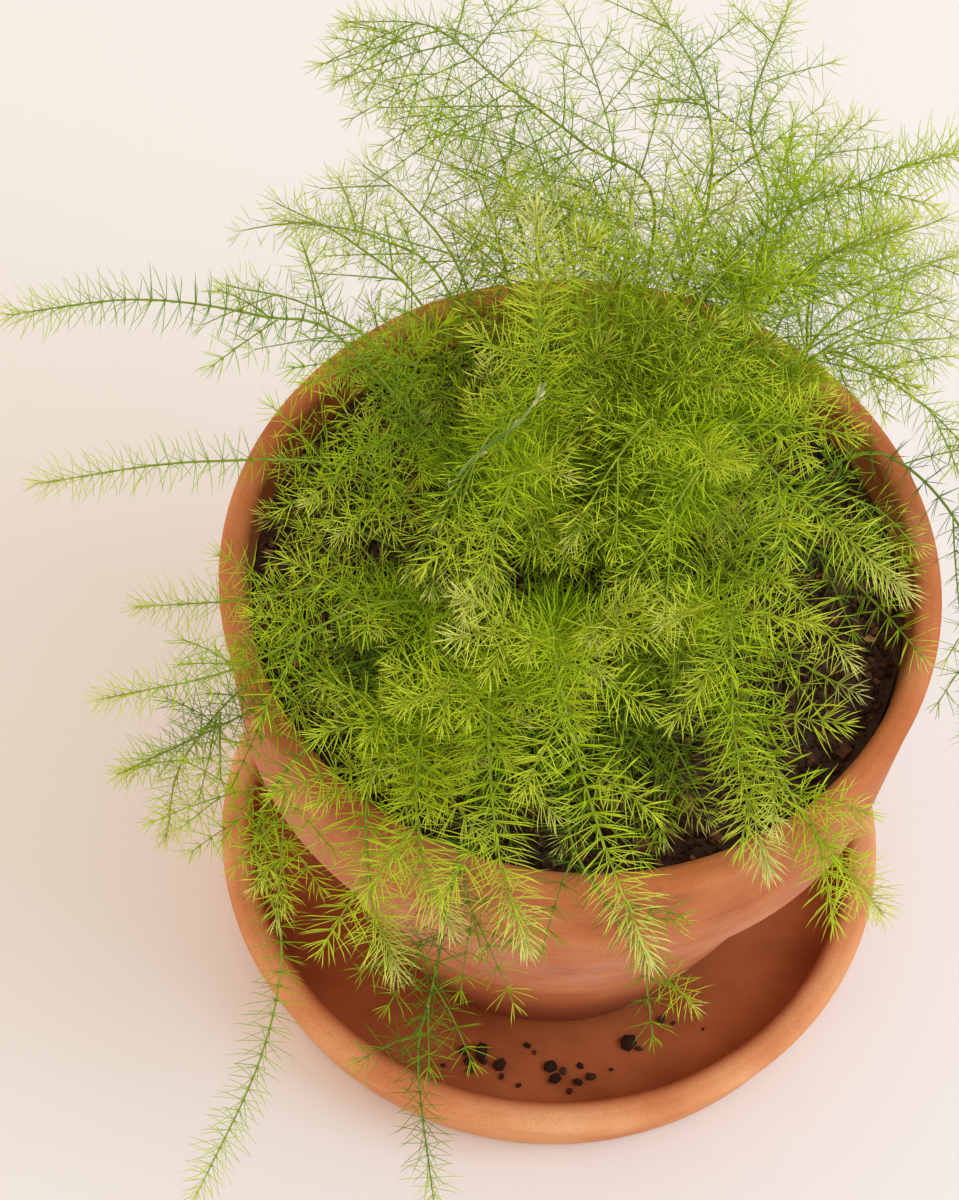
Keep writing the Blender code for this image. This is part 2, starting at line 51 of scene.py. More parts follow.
# Pot and saucer, at the sizes of the frame's own pieces
RIM_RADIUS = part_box("pot")[1][0]
RIM_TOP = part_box("pot")[1][2]
POT_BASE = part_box("pot")[0][2]
COLLAR_FOOT = RIM_TOP - 40.0 * MM
COLLAR_FOOT_RADIUS = 71.5 * MM
COLLAR_STEP = 2.4 * MM
COLLAR_EDGE = 0.8 * MM
POT_FOOT_RADIUS = 44.0 * MM
POT_WALL = 5.8 * MM
POT_FLOOR = 8.0 * MM
LIP_ROUND = 2.4 * MM
FOOT_ROUND = 1.5 * MM
DRAIN_RADIUS = 7.0 * MM
SAUCER_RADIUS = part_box("saucer")[1][0]
SAUCER_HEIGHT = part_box("saucer")[1][2]
SAUCER_FOOT_RADIUS = 72.0 * MM
SAUCER_WALL = 7.5 * MM
SAUCER_FLOOR = 6.0 * MM
SAUCER_ROUND = 2.6 * MM
SAUCER_COVE = 3.0 * MM
GAP = 0.3 * MM
POLE = 0.2 * MM

# How far the edges of the salt band, partly a painted highlight, and of the darker foot, partly painted
# shade, wander up and down the clay
MASK_WANDER = 14 * MM

# Where a colour mix node takes its share and its two colours, and where it gives the mixed one
SHARE, FIRST, SECOND, MIXED = 0, 6, 7, 2

# Soil, with its hollows, lumps and crumbs as (width, height, level of the noise), the first two in
# millimetres
SOIL_TOP = RIM_TOP - 11.0 * MM
SOIL_RING = 1.6 * MM
SOIL_LUMPS = ((22, 1.6, 0.0), (5.5, 1.8, 0.04), (2.2, 0.7, 0.09))
SOIL_FINE = 0.8

# Bits on the soil, as (count, least size, most size, flatness), in millimetres. Each one is raised by a
# share of its size, and its width is a share of its length.
BARK_CHIPS = (220, 1.4, 3.8, 0.6)
PEAT_CRUMBS = (7500, 0.7, 2.8, 0.85)
BIT_CLEAR = 0.3
BIT_RAISE = 0.25
BIT_WIDTHS = (0.5, 0.8)

# Where the soil lies bare: (x, y, radius, height up to which foliage keeps out), in millimetres
BARE_SOIL = ((58, -22, 19, 152), (-65, 4, 9, 152), (62, 24, 14, 165), (46, 52, 10, 160), (-19, -27, 5, 150))

# Leafy stems: the same ways, counts and sizes as in the frame, with more sprays and needles
ROOT_DEPTH = 9.0 * MM
STEM_UPRIGHT = 3.5 * MM
STEM_BEND = 6.0 * MM
STEM_FOOT_RADIUS = 0.46 * MM
STEM_TIP_RADIUS = 0.14 * MM
STEM_POINTS = 44
STEM_BARE = 0.16
CURVE_STEPS = 12
SPRAY_FIRST = 0.36
SPRAY_LEAN = math.radians(50)
SPRAY_DROOP = 0.16
SPRAY_INWARD = 0.12
SPRAY_SHORTEST = 15.0 * MM
SPRAY_TAPER = 0.55
SPRAY_LENGTHS = (0.88, 1.08)
SPRAY_ROLL = 78
SPRAY_ROLL_SWAY = 10
SPRAY_BOW = 0.14
SPRAY_POINTS = 8
SPRAY_FOOT_RADIUS = 0.20 * MM
SPRAY_TIP_RADIUS = 0.12 * MM
SHOOT_FOOT_RADIUS = SPRAY_TIP_RADIUS * 1.2
ROLL_TRIES = 6
SPRAY_MARGIN = 1.0 * MM

# Extra sprays between the frame's own, and none past EXTRA_LAST, or past SINGLE_LAST on a thick stem
EXTRA_FIRST = 0.12
EXTRA_LAST = 0.62
SINGLE_LAST = 0.46
EXTRA_STEP = 13.0 * MM
INNER_EXTRA_STEP = 9.0 * MM
AIRY_EXTRA_STEP = 15.0 * MM
EXTRA_SWAY = 0.3
EXTRA_ROLLS = (40, 118)
EXTRA_LEANS = (32, 66)
EXTRA_LENGTHS = (0.55, 0.95)
EXTRA_TAPER_FROM = 0.15
EXTRA_SHORTEST = 12.0 * MM

# The comb of sprays on the back plume, hanging to its left, with a few short ones on its right
PLUME_STEM = "back_plume"
PLUME_SPRAYS = 12
PLUME_FIRST = 0.40
PLUME_TAPER = 0.45
PLUME_LENGTHS = (0.75, 1.0)
PLUME_LEANS = (66, 96)
PLUME_ROLLS = (72, 104)
PLUME_RIGHT_FIRST = 0.46
PLUME_RIGHT_ROLLS = (60, 100)
PLUME_RIGHT_LENGTH = 0.6
PLUME_RIGHT_LEAN = 0.7

# Short shoots on the longer sprays
SHOOT_SHARES = (0.18, 0.32, 0.46, 0.60, 0.72)
SHOOT_LENGTHS = (0.45, 0.8)
SHOOT_ROLLS = (50, 120)
SHOOT_POINTS = 6
SHOOT_LEAST_SPRAY = 23.0 * MM
SHOOT_SHORTEST = 7.0 * MM
SHOOT_MARGIN = 0.6 * MM

# Needles, in whorls that come closer together towards a growing tip. SPRAY_STEP and SPRAY_CROWDING are a
# spray's against the main stem's, and FOOT_SWAY is in millimetres along the stem.
NEEDLE_RADIUS = 0.096 * MM
NEEDLE_SHORTEST = 4.2 * MM
NEEDLE_SIZES = (0.72, 1.06)
NEEDLE_BEND = 0.68
NEEDLE_BOW = 0.12
NEEDLE_MARGIN = 0.2 * MM
FIRST_WHORL = 0.3 * MM
WHORL_AT_TIP = 6
TIP_STEP_SHARE = 0.56
SPRAY_STEP = 1.45
SPRAY_CROWDING = 0.55
SPRAY_BARE = 0.08
FOOT_SWAY = 0.2
TURN_SWAY = 0.3
SETTLED_AFTER = 42.0 * MM

# How far the needles lean from their stem, in degrees: when old, when young and at the tip
LEAN_FULL = 84
LEAN_YOUNG = 72
LEAN_AT_TIP = 28
LEAN_SWAY = 12

# Tone of the needles, from 0 for deep green to 1 for a pale tip: how pale the tips are and for how far,
# and how much deeper the needles grow far behind them
PALE_WITHIN = 6.0 * MM
PALE_WITHIN_STEM = 13.0 * MM
PALE_THICK = 1.7
DEEPENING = 0.20
TONE_SWAY = 0.05
SPRAY_TONE_SWAY = 0.06
THICK_PALER = 0.08
STEM_DEEPER = 0.20
PALE_STEM = 0.85
PALE_SPRAY = 0.30
PALE_YOUNG_SPRAY = 0.75
YOUNG_SPRAYS = 0.18

# The small pale bud at the foot of each spray: its length, tone, shade and thickness, and how many
# millimetres of it are sunk in the stem
BUD = (1.2 * MM, 0.80, 0.4, 2.2)
BUD_SINK = 0.3

# How each kind of stem carries its needles: needles in a whorl, millimetres between young whorls and
# between old ones, needle length on the stem, its sprays and its shoots, length of the crowded tip,
# and thickness of a needle against the usual
HABITS = {
    "brush": (8, 2.8, 4.0, 9.0, 8.0, 7.2, 11, 1.0),
    "fine": (8, 2.2, 3.0, 7.8, 7.0, 6.2, 8, 0.92),
    "thick": (10, 2.1, 2.8, 10.4, 9.2, 8.2, 13, 1.12),
    "lace": (8, 3.1, 4.5, 8.0, 7.4, 6.6, 5, 0.92),
    "haze": (7, 2.8, 4.1, 8.0, 7.2, 6.2, 5, 0.84),
}
GOLDEN_ANGLE = math.radians(137.5)

# More stems of the same plant, in degrees and millimetres: in the middle of the pot, in a fan over its
# back, over its top as (azimuth, height, reach), hanging with pale tips as (root, way points), and low by
# its front edge
INNER_COUNT = 23
INNER_REACH = 66
INNER_OLD = 0.80
FAN_HEIGHTS = (160, 178)
FAN_ROOTS = (16, 30)
FAN_REACHES = (86, 100)
FAN_AZIMUTHS = (34, 43, 52, 64, 102, 112, 122, 131, 141, 151)
TIP_DROPS = (6, 14)
TOP_ROOTS = (6, 16)
TOP_STEMS = ((35, 182, 82), (41, 192, 86), (48, 197, 86), (55, 200, 80), (62, 190, 84), (70, 196, 80),
             (76, 201, 58), (86, 199, 56), (96, 194, 56), (107, 190, 60), (120, 184, 64), (51, 184, 74),
             (71, 186, 66), (90, 184, 62))
HANGING_STEMS = (
    ((-165, 6), ((-160, 20, 184), (-146, 33, 179), (-136, 40, 163))),
    ((178, 8), ((-166, 19, 188), (-145, 30, 181), (-130, 37, 164))),
    ((160, 5), ((-170, 16, 190), (-142, 23, 184), (-124, 31, 166))),
    ((-95, 6), ((-70, 16, 176), (-58, 30, 170), (-54, 40, 152))),
    ((20, 9), ((-36, 13, 201), (-78, 16, 197), (-97, 23, 179))),
    ((0, 14), ((-34, 24, 195), (-58, 27, 189), (-77, 32, 172))),
)
EDGE_HEIGHTS = (132, 144)
EDGE_ROOTS = (28, 38)
EDGE_REACHES = (60, 66)
EDGE_AZIMUTHS = (-172, -159, -148, -137, -127, -117, -107, -97, -88, -79, -68, -56)

# One row for each stem: name after stem_, root as (azimuth, reach), way points as (azimuth, reach, height),
# number of side sprays, the longest one, the length of the unbranched end, the stem's habit and its green.
# Degrees and millimetres.
LEAFY_STEMS = (
    ("back_plume", (96, 17),
     ((84, 58, 179), (98, 74, 180), (108, 97, 174), (112, 124, 161), (118, 139, 150)),
     5, 44, 18, "haze", "old"),
    ("back_middle", (78, 22), ((75, 62, 176), (82, 94, 177), (90, 137, 152)), 5, 36, 18, "haze", "old"),
    ("back_right", (58, 29), ((66, 72, 166), (76, 98, 168), (78, 146, 150)), 5, 36, 20, "haze", "old"),
    ("back_low", (66, 38), ((66, 74, 152), (69, 104, 148), (69, 133, 136)), 4, 30, 22, "haze", "old"),
    ("right_high", (55, 11), ((60, 40, 196), (50, 70, 203), (47, 107, 191)), 4, 34, 40, "thick", "fresh"),
    ("right_upper", (40, 16), ((49, 46, 186), (47, 84, 182)), 4, 30, 35, "thick", "fresh"),
    ("right_back", (46, 33), ((51, 70, 152), (53, 100, 138), (54, 134, 116)), 4, 34, 25, "haze", "old"),
    ("right_middle", (34, 24), ((40, 52, 170), (29, 70, 162), (21, 88, 140)), 4, 32, 22, "brush", "fresh"),
    ("right_over_rim", (24, 36), ((27, 64, 146), (12, 84, 126), (-1, 91, 76)), 4, 30, 35, "lace", "old"),
    ("front_bright", (4, 10), ((24, 20, 183), (-8, 40, 180), (-13, 66, 163)), 4, 34, 36, "thick", "fresh"),
    ("front_arch", (-22, 13), ((-18, 24, 174), (-26, 44, 169), (-25, 61, 152)),
     4, 28, 30, "brush", "fresh"),
    ("front_long", (-52, 19), ((-46, 40, 172), (-56, 60, 158), (-57, 80, 138)),
     4, 28, 45, "thick", "fresh"),
    ("front_right", (-44, 32), ((-51, 60, 153), (-49, 78, 143), (-42, 92, 116)),
     4, 24, 30, "thick", "fresh"),
    ("inner_right", (-18, 25), ((-28, 33, 146), (-22, 47, 138), (-19, 62, 131)),
     4, 22, 20, "lace", "fresh"),
    ("inner_front", (-68, 24), ((-60, 32, 146), (-66, 46, 139), (-69, 63, 131)), 4, 22, 40, "lace", "old"),
    ("olive_right", (4, 32), ((6, 46, 144), (-2, 60, 138), (-10, 72, 136)), 3, 22, 25, "lace", "old"),
    ("over_front", (-92, 12), ((-95, 44, 176), (-84, 74, 166), (-77, 97, 148)),
     5, 30, 40, "thick", "fresh"),
    ("front_left", (-108, 18), ((-107, 50, 166), (-97, 79, 157), (-91, 90, 138)),
     4, 28, 28, "thick", "fresh"),
    ("front_left_low", (-122, 26), ((-117, 58, 156), (-108, 80, 149), (-101, 88, 134)),
     4, 26, 24, "thick", "fresh"),
    ("left_hook", (-118, 36), ((-121, 68, 147), (-113, 86, 134), (-107, 91, 113)),
     4, 24, 26, "thick", "fresh"),
    ("front_dark", (-80, 33), ((-87, 66, 144), (-77, 81, 126), (-68, 88, 104)), 4, 22, 22, "lace", "old"),
    ("front_trailing", (-98, 36), ((-103, 72, 141), (-103, 87, 106), (-103, 94, 82), (-98, 107, 44)),
     4, 24, 50, "lace", "old"),
    ("left_long", (-176, 10), ((171, 50, 191), (173, 68, 198), (175, 92, 199), (175, 119, 185)),
     5, 30, 58, "fine", "fresh"),
    ("left_second", (-172, 20), ((-173, 44, 168), (-176, 78, 165), (-177, 112, 150)),
     4, 26, 62, "fine", "fresh"),
    ("left_third", (-155, 25), ((-152, 52, 156), (-156, 70, 153), (-164, 92, 139)),
     4, 22, 34, "fine", "fresh"),
    ("left_pale", (-143, 17), ((-139, 52, 166), (-144, 80, 157), (-153, 104, 138)),
     4, 24, 34, "fine", "fresh"),
    ("left_dark", (-137, 26), ((-137, 62, 153), (-142, 84, 143), (-149, 102, 119)),
     4, 24, 30, "fine", "old"),
    ("left_low", (-147, 34), ((-147, 68, 145), (-146, 90, 126), (-143, 98, 104)),
     4, 22, 22, "fine", "fresh"),
    ("left_trailing", (-131, 37),
     ((-132, 74, 143), (-130, 90, 128), (-121, 98, 114), (-117, 115, 98), (-117, 138, 72)),
     5, 26, 85, "fine", "fresh"),
    ("top_left", (140, 22), ((134, 48, 176), (137, 68, 176), (141, 90, 164)), 4, 30, 20, "fine", "fresh"),
    ("crown", (140, 5), ((150, 14, 184), (128, 24, 203), (116, 40, 206)), 4, 26, 18, "thick", "fresh"),
    ("centre", (-130, 7), ((-140, 18, 186), (-122, 32, 188), (-119, 44, 172)), 4, 24, 22, "brush", "fresh"),
)
GREEN_TONE = {"old": 0.14, "fresh": 0.52}
# Paler tone of the haze stems, mostly at the back: partly painted light that stands in for light shining
# through their thin needles
HAZE_TONE_WITH_PAINTED_LIGHT = 0.42
DEEPER_STEMS = ("right_high", "right_upper", "left_long")

# The young bare shoot, as (x, y, height) in millimetres from the soil to its tip
YOUNG_SHOOT = ((-37, -12, 118), (-36, -15, 140), (-31, -15, 163), (-25, -13, 186), (-15, -12, 203),
               (-11, -8, 211))
YOUNG_SHOOT_POINTS = 28
YOUNG_SHOOT_RADIUS = 0.66 * MM
YOUNG_SHOOT_TIP = 0.28 * MM

# The papery scales on it, as (share of the shoot, length in millimetres, turn round it in degrees)
SHOOT_SCALES = ((0.30, 3.4, 20), (0.46, 3.2, 200), (0.62, 3.4, 330), (0.76, 3.0, 110), (0.87, 2.8, 250),
                (0.94, 2.6, 40), (0.955, 2.8, 170), (0.965, 2.8, 300))
SCALE_TONE = 0.9
SCALE_THICKNESS = 4.2

# Dark crumbs that fell in the saucer, as (azimuth, reach, size) in degrees and millimetres
FALLEN_CRUMBS = (
    (-104, 55, 3.2), (-102, 57, 2.4), (-100, 54, 3.8), (-101, 59, 2.0), (-98.5, 56, 1.8), (-95, 56, 3.4),
    (-94, 58.5, 1.6), (-89, 50, 1.5), (-87, 51.5, 1.1), (-90, 60, 1.3), (-83, 55, 2.8), (-82, 58, 3.3),
    (-80, 56, 1.6), (-77, 59, 2.6), (-76, 55, 1.5), (-74, 58, 2.2), (-79, 61, 1.8), (-63, 52, 4.0),
    (-61, 54, 1.5), (-52, 50, 2.3), (-50, 52, 1.0), (-69, 57, 0.9), (-107, 60, 1.2), (-45, 57, 0.9),
)


def linear(hex_colour):
    """Turn an sRGB hex colour into linear light."""
    channels = [int(hex_colour[place:place + 2], 16) / 255 for place in (0, 2, 4)]
    bright = [value / 12.92 if value <= 0.04045 else ((value + 0.055) / 1.055) ** 2.4 for value in channels]
    return (*bright, 1.0)


def set_inputs(node, inputs):
    """Give each input of a node its value, or a link to the socket that feeds it."""
    for name, value in inputs.items():
        if isinstance(value, bpy.types.NodeSocket):
            node.id_data.links.new(value, node.inputs[name])
        else:
            node.inputs[name].default_value = value


def add_node(tree, kind, inputs=None, stops=(), **settings):
    """Add a shader node with its settings, its colour stops and its values or links."""
    node = tree.nodes.new("ShaderNode" + kind)
    for name, value in settings.items():
        setattr(node, name, value)
    for index, (position, colour) in enumerate(stops):
        ramp = node.color_ramp.elements
        stop = ramp[index] if index < 2 else ramp.new(position)
        stop.position = position
        stop.color = linear(colour)
    set_inputs(node, inputs or {})
    return node


def new_material(name):
    """A material with only its Principled shader and output: itself, that shader and its own add_node."""
    material = bpy.data.materials.new(name)
    material.use_nodes = True
    tree = material.node_tree
    return material, tree.nodes["Principled BSDF"], partial(add_node, tree)


def mottled(add, place, scale, detail, stops, roughness=0.5):
    """A cloudy pattern in the colours of its stops: the colour, and the cloud alone. Scale is per metre."""
    cloud = add("TexNoise", {"Vector": place, "Scale": scale, "Detail": detail, "Roughness": roughness})
    colour = add("ValToRGB", {"Fac": cloud.outputs["Fac"]}, stops)
    return colour.outputs["Color"], cloud.outputs["Fac"]


def clay_colour(add, place, dark, main, light):
    """Fired terracotta: cloudy patches about 20 mm wide, fine grit, and streaks wiped on by the wheel."""
    body = mottled(add, place, 50.0, 4.0, ((0.30, dark), (0.72, light), (0.50, main)))[0]
    speck, grit = mottled(add, place, 1500.0, 2.0, ((0.34, "CDBFB4"), (0.52, "FFFFFF")))
    grained = add("Mix", {SHARE: 0.22, FIRST: body, SECOND: speck}, data_type="RGBA", blend_type="MULTIPLY")
    flat = add("VectorMath", {0: place, 1: (1.0, 1.0, 14.0)}, operation="MULTIPLY")
    streak = mottled(add, flat.outputs["Vector"], 26.0, 3.0, ((0.36, "D9B8A6"), (0.60, "FFFFFF")))[0]
    streaked = add("Mix", {SHARE: 0.3, FIRST: grained.outputs[MIXED], SECOND: streak},
                   data_type="RGBA", blend_type="MULTIPLY")
    return streaked.outputs[MIXED], grit


def finish_clay(add, shader, colour, place, grit):
    """Matt clay with the faint rings that fingers leave on the wheel, about 3 mm apart, and rough grit."""
    rings = add("TexWave", {"Vector": place, "Scale": 52.0, "Distortion": 1.5, "Detail": 2.0,
                            "Detail Scale": 1.2}, wave_type="BANDS", bands_direction="Z")
    height = add("Math", {0: rings.outputs["Fac"], 1: 0.7, 2: grit}, operation="MULTIPLY_ADD")
    bump = add("Bump", {"Height": height.outputs["Value"], "Strength": 0.35, "Distance": 0.25 * MM})
    set_inputs(shader, {"Base Color": colour, "Normal": bump.outputs["Normal"], "Roughness": 0.8,
                        "Specular IOR Level": 0.3})


def height_mask(add, place, low, high):
    """Zero below one height and one above another, with the edge wandering a few millimetres."""
    parts = add("SeparateXYZ", {"Vector": place})
    wander = add("TexNoise", {"Vector": place, "Scale": 60.0, "Detail": 5.0})
    height = add("Math", {0: wander.outputs["Fac"], 1: MASK_WANDER, 2: parts.outputs["Z"]},
                 operation="MULTIPLY_ADD")
    mask = add("MapRange", {"Value": height.outputs["Value"], "From Min": low + MASK_WANDER / 2,
                            "From Max": high + MASK_WANDER / 2})
    return mask.outputs["Result"]


def pot_terracotta():
    """The pot's terracotta: orange collar, pinkish salt with a painted highlight below it, and dampness
    with painted shade by the foot.
    """
    material, shader, add = new_material("thrown_terracotta")
    place = add("TexCoord").outputs["Object"]
    colour, grit = clay_colour(add, place, "BA6634", "CA7742", "D68C59")
    # Pinkish salt in a band round the lower collar and the body below it, partly real salt and partly a
    # painted highlight
    salt_and_highlight_noise = add("TexNoise", {"Vector": place, "Scale": 70.0, "Detail": 6.0, "Roughness": 0.65})
    band = add("Math", {0: height_mask(add, place, 44 * MM, 70 * MM),
                        1: height_mask(add, place, 112 * MM, 88 * MM)}, operation="MULTIPLY")
    patches = add("MapRange", {"Value": salt_and_highlight_noise.outputs["Fac"], "From Min": 0.34, "From Max": 0.66,
                               "To Max": 0.52})
    bloom = add("Math", {0: band.outputs["Value"], 1: patches.outputs["Result"]}, operation="MULTIPLY")
    salted_with_highlight = add("Mix", {SHARE: bloom.outputs["Value"], FIRST: colour, SECOND: linear("C39384")},
                 data_type="RGBA")
    # Darker clay towards the foot, under the collar's overhang: partly dampness and partly painted shade
    damp_and_shade = add("Mix", {SHARE: height_mask(add, place, 26 * MM, 56 * MM), FIRST: linear("9A4F29"),
                       SECOND: salted_with_highlight.outputs[MIXED]}, data_type="RGBA")
    finish_clay(add, shader, damp_and_shade.outputs[MIXED], place, grit)
    return material


def saucer_terracotta():
    """The saucer's terracotta: pale sandy orange outside, darker inside, partly from dampness where water
    stood and partly painted shade under the pot.
    """
    material, shader, add = new_material("damp_shaded_terracotta")
    place = add("TexCoord").outputs["Object"]
    colour, grit = clay_colour(add, place, "D18350", "E29A64", "EAAC79")
    # The darker inside is partly dampness and partly painted shade, where the pot's collar overhangs the
    # saucer
    level = add("VectorMath", {0: place, 1: (1.0, 1.0, 0.0)}, operation="MULTIPLY")
    reach = add("VectorMath", {0: level.outputs["Vector"]}, operation="LENGTH")
    inside = add("MapRange", {"Value": reach.outputs["Value"], "From Min": SAUCER_RADIUS - 3.5 * MM,
                              "From Max": SAUCER_RADIUS - SAUCER_WALL + 0.5 * MM})
    parts = add("SeparateXYZ", {"Vector": place})
    upper = add("MapRange", {"Value": parts.outputs["Z"], "From Min": 3 * MM, "From Max": 5 * MM})
    wet_and_shaded = add("Math", {0: inside.outputs["Result"], 1: upper.outputs["Result"]}, operation="MULTIPLY")
    soaked_and_shaded = mottled(add, place, 55.0, 5.0, ((0.30, "8F4118"), (0.70, "B4602F")))[0]
    damp_and_shade = add("Mix", {SHARE: wet_and_shaded.outputs["Value"], FIRST: colour, SECOND: soaked_and_shaded}, data_type="RGBA")
    finish_clay(add, shader, damp_and_shade.outputs[MIXED], place, grit)
    return material


def damp_soil():
    """Damp peat: almost black brown with browner fibres about 4 mm apart, matt and rough."""
    material, shader, add = new_material("damp_peat")
    place = add("TexCoord").outputs["Object"]
    colour, fibre = mottled(add, place, 260.0, 6.0,
                            ((0.30, "2B170C"), (0.75, "6E472D"), (0.52, "452817")), 0.7)
    bump = add("Bump", {"Height": fibre, "Strength": 0.8, "Distance": 0.8 * MM})
    set_inputs(shader, {"Base Color": colour, "Normal": bump.outputs["Normal"], "Roughness": 0.88})
    return material


def composted_bark():
    """Composted bark chips: dull brown, each chip its own shade, with a fine grain."""
    material, shader, add = new_material("composted_bark")
    place = add("TexCoord").outputs["Object"]
    shade = add("Attribute", attribute_name="growth")
    grain = add("TexNoise", {"Vector": place, "Scale": 700.0, "Detail": 4.0})
    parts = add("SeparateColor", {"Color": shade.outputs["Color"]})
    mixed = add("Math", {0: grain.outputs["Fac"], 1: 0.35, 2: parts.outputs["Green"]},
                operation="MULTIPLY_ADD")
    colour = add("ValToRGB", {"Fac": mixed.outputs["Value"]},
                 ((0.15, "2A160C"), (1.0, "B07E58"), (0.60, "4B2C1A"), (0.95, "7C5134")))
    bump = add("Bump", {"Height": grain.outputs["Fac"], "Strength": 0.6, "Distance": 0.4 * MM})
    set_inputs(shader, {"Base Color": colour.outputs["Color"], "Normal": bump.outputs["Normal"],
                        "Roughness": 0.85, "Specular IOR Level": 0.2})
    return material


def living_needles():
    """Soft living needles: deep green when old, lime when young, pale yellow at the growing tips."""
    material, shader, add = new_material("living_green")
    growth = add("Attribute", attribute_name="growth")
    parts = add("SeparateColor", {"Color": growth.outputs["Color"]})
    tone = parts.outputs["Red"]
    needle = add("ValToRGB", {"Fac": tone}, (
        (0.0, "568610"), (0.50, "C0DA10"), (0.25, "8DB405"), (0.75, "DAE442"), (1.0, "F2EC9C")))
    stem = add("ValToRGB", {"Fac": tone}, ((0.0, "68801C"), (0.5, "8CA02C")))
    body = add("Mix", {SHARE: parts.outputs["Blue"], FIRST: needle.outputs["Color"],
                       SECOND: stem.outputs["Color"]}, data_type="RGBA")
    shade = add("MapRange", {"Value": parts.outputs["Green"], "To Min": 0.84, "To Max": 1.14})
    varied = add("HueSaturation", {"Color": body.outputs[MIXED], "Value": shade.outputs["Result"]})
    set_inputs(shader, {"Base Color": varied.outputs["Color"], "Roughness": 0.65,
                        "Specular IOR Level": 0.16})
    return material


def waxy_shoot():
    """A young asparagus shoot: grey-green under a thin wax bloom, smooth, greener in patches."""
    material, shader, add = new_material("waxy_young_shoot")
    place = add("TexCoord").outputs["Object"]
    colour = mottled(add, place, 140.0, 4.0, ((0.34, "587A2C"), (0.66, "86A254")))[0]
    set_inputs(shader, {"Base Color": colour, "Roughness": 0.65, "Specular IOR Level": 0.3})
    return material


def papery_scale():
    """Dry papery scales: pale straw with browner streaks, matt."""
    material, shader, add = new_material("papery_scale")
    place = add("TexCoord").outputs["Object"]
    colour = mottled(add, place, 900.0, 2.0, ((0.35, "A89468"), (0.65, "DDD0A2")))[0]
    set_inputs(shader, {"Base Color": colour, "Roughness": 0.8})
    return material


def studio_paper():
    """Plain pale studio paper under the pot."""
    material, shader = new_material("studio_paper")[:2]
    set_inputs(shader, {"Base Color": linear("EFEBE6"), "Roughness": 0.9, "Specular IOR Level": 0.2})
    return material


def arc(middle, radius, start, stop, steps):
    """Points on an arc in the profile plane, as (radius, height) pairs. Angles in degrees."""
    angles = (math.radians(start + (stop - start) * step / steps) for step in range(steps + 1))
    return [(middle[0] + radius * math.cos(a), middle[1] + radius * math.sin(a)) for a in angles]


def thrown(name, rings, around=ROUND_STEPS):
    """Raise a round piece ring by ring, as on a wheel, and close it at its poles or its first ring."""
    select_only()
    radius, height = rings[0]
    bpy.ops.mesh.primitive_circle_add(vertices=around, radius=radius, fill_type="NOTHING",
                                      location=(0, 0, height))
    piece = bpy.context.object
    piece.name = name
    bpy.ops.object.transform_apply(location=True, rotation=False, scale=False)
    bpy.ops.object.mode_set(mode="EDIT")
    bpy.ops.mesh.select_all(action="SELECT")
    for (narrow, low), (wide, high) in zip(rings, rings[1:]):
        bpy.ops.mesh.extrude_edges_move(TRANSFORM_OT_translate={"value": (0, 0, high - low)})
        bpy.ops.transform.resize(value=(wide / narrow, wide / narrow, 1), center_override=(0, 0, high))
    bpy.ops.mesh.select_all(action="SELECT")
    bpy.ops.mesh.remove_doubles(threshold=0.02 * MM)
    bpy.ops.mesh.fill_holes(sides=0)
    bpy.ops.mesh.select_all(action="SELECT")
    bpy.ops.mesh.normals_make_consistent(inside=False)
    bpy.ops.object.mode_set(mode="OBJECT")
    return piece


def finish_piece(piece, material, node=None):
    """Give a piece its material and slot, and say what it rides on and stands for."""
    piece.data.materials.clear()
    piece.data.materials.append(material)
    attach(piece, "root")
    if node:
        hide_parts(node)


def in_scene(name, data):
    """Put a mesh, curve, light or camera into the scene."""
    thing = bpy.data.objects.new(name, data)
    bpy.context.scene.collection.objects.link(thing)
    return thing


def select_only(*pieces):
    """Select some pieces, or none, and nothing else. The last one is then the active one."""
    bpy.ops.object.select_all(action="DESELECT")
    for piece in pieces:
        piece.select_set(True)
        bpy.context.view_layer.objects.active = piece


def smooth_round(piece, angle=40):
    """Shade a round piece smooth and keep its edges."""
    select_only(piece)
    bpy.ops.object.shade_smooth_by_angle(angle=math.radians(angle))


def pot_outer_radius(height):
    """Outer radius of the pot's wall at a height."""
    if height >= COLLAR_FOOT:
        share = (height - COLLAR_FOOT) / (RIM_TOP - COLLAR_FOOT)
        return COLLAR_FOOT_RADIUS + (RIM_RADIUS - COLLAR_FOOT_RADIUS) * share
    share = (height - POT_BASE) / (COLLAR_FOOT - POT_BASE)
    return POT_FOOT_RADIUS + (COLLAR_FOOT_RADIUS - COLLAR_STEP - POT_FOOT_RADIUS) * share


def pot_inner_radius(height):
    """Inner radius of the pot's wall at a height."""
    return pot_outer_radius(height) - POT_WALL


def wall_rings(low, high, steps, count):
    """The first few rings of the pot's outer wall, in even steps from one height to another."""
    heights = [low + (high - low) * part / steps for part in range(1, count + 1)]
    return [(pot_outer_radius(height), height) for height in heights]


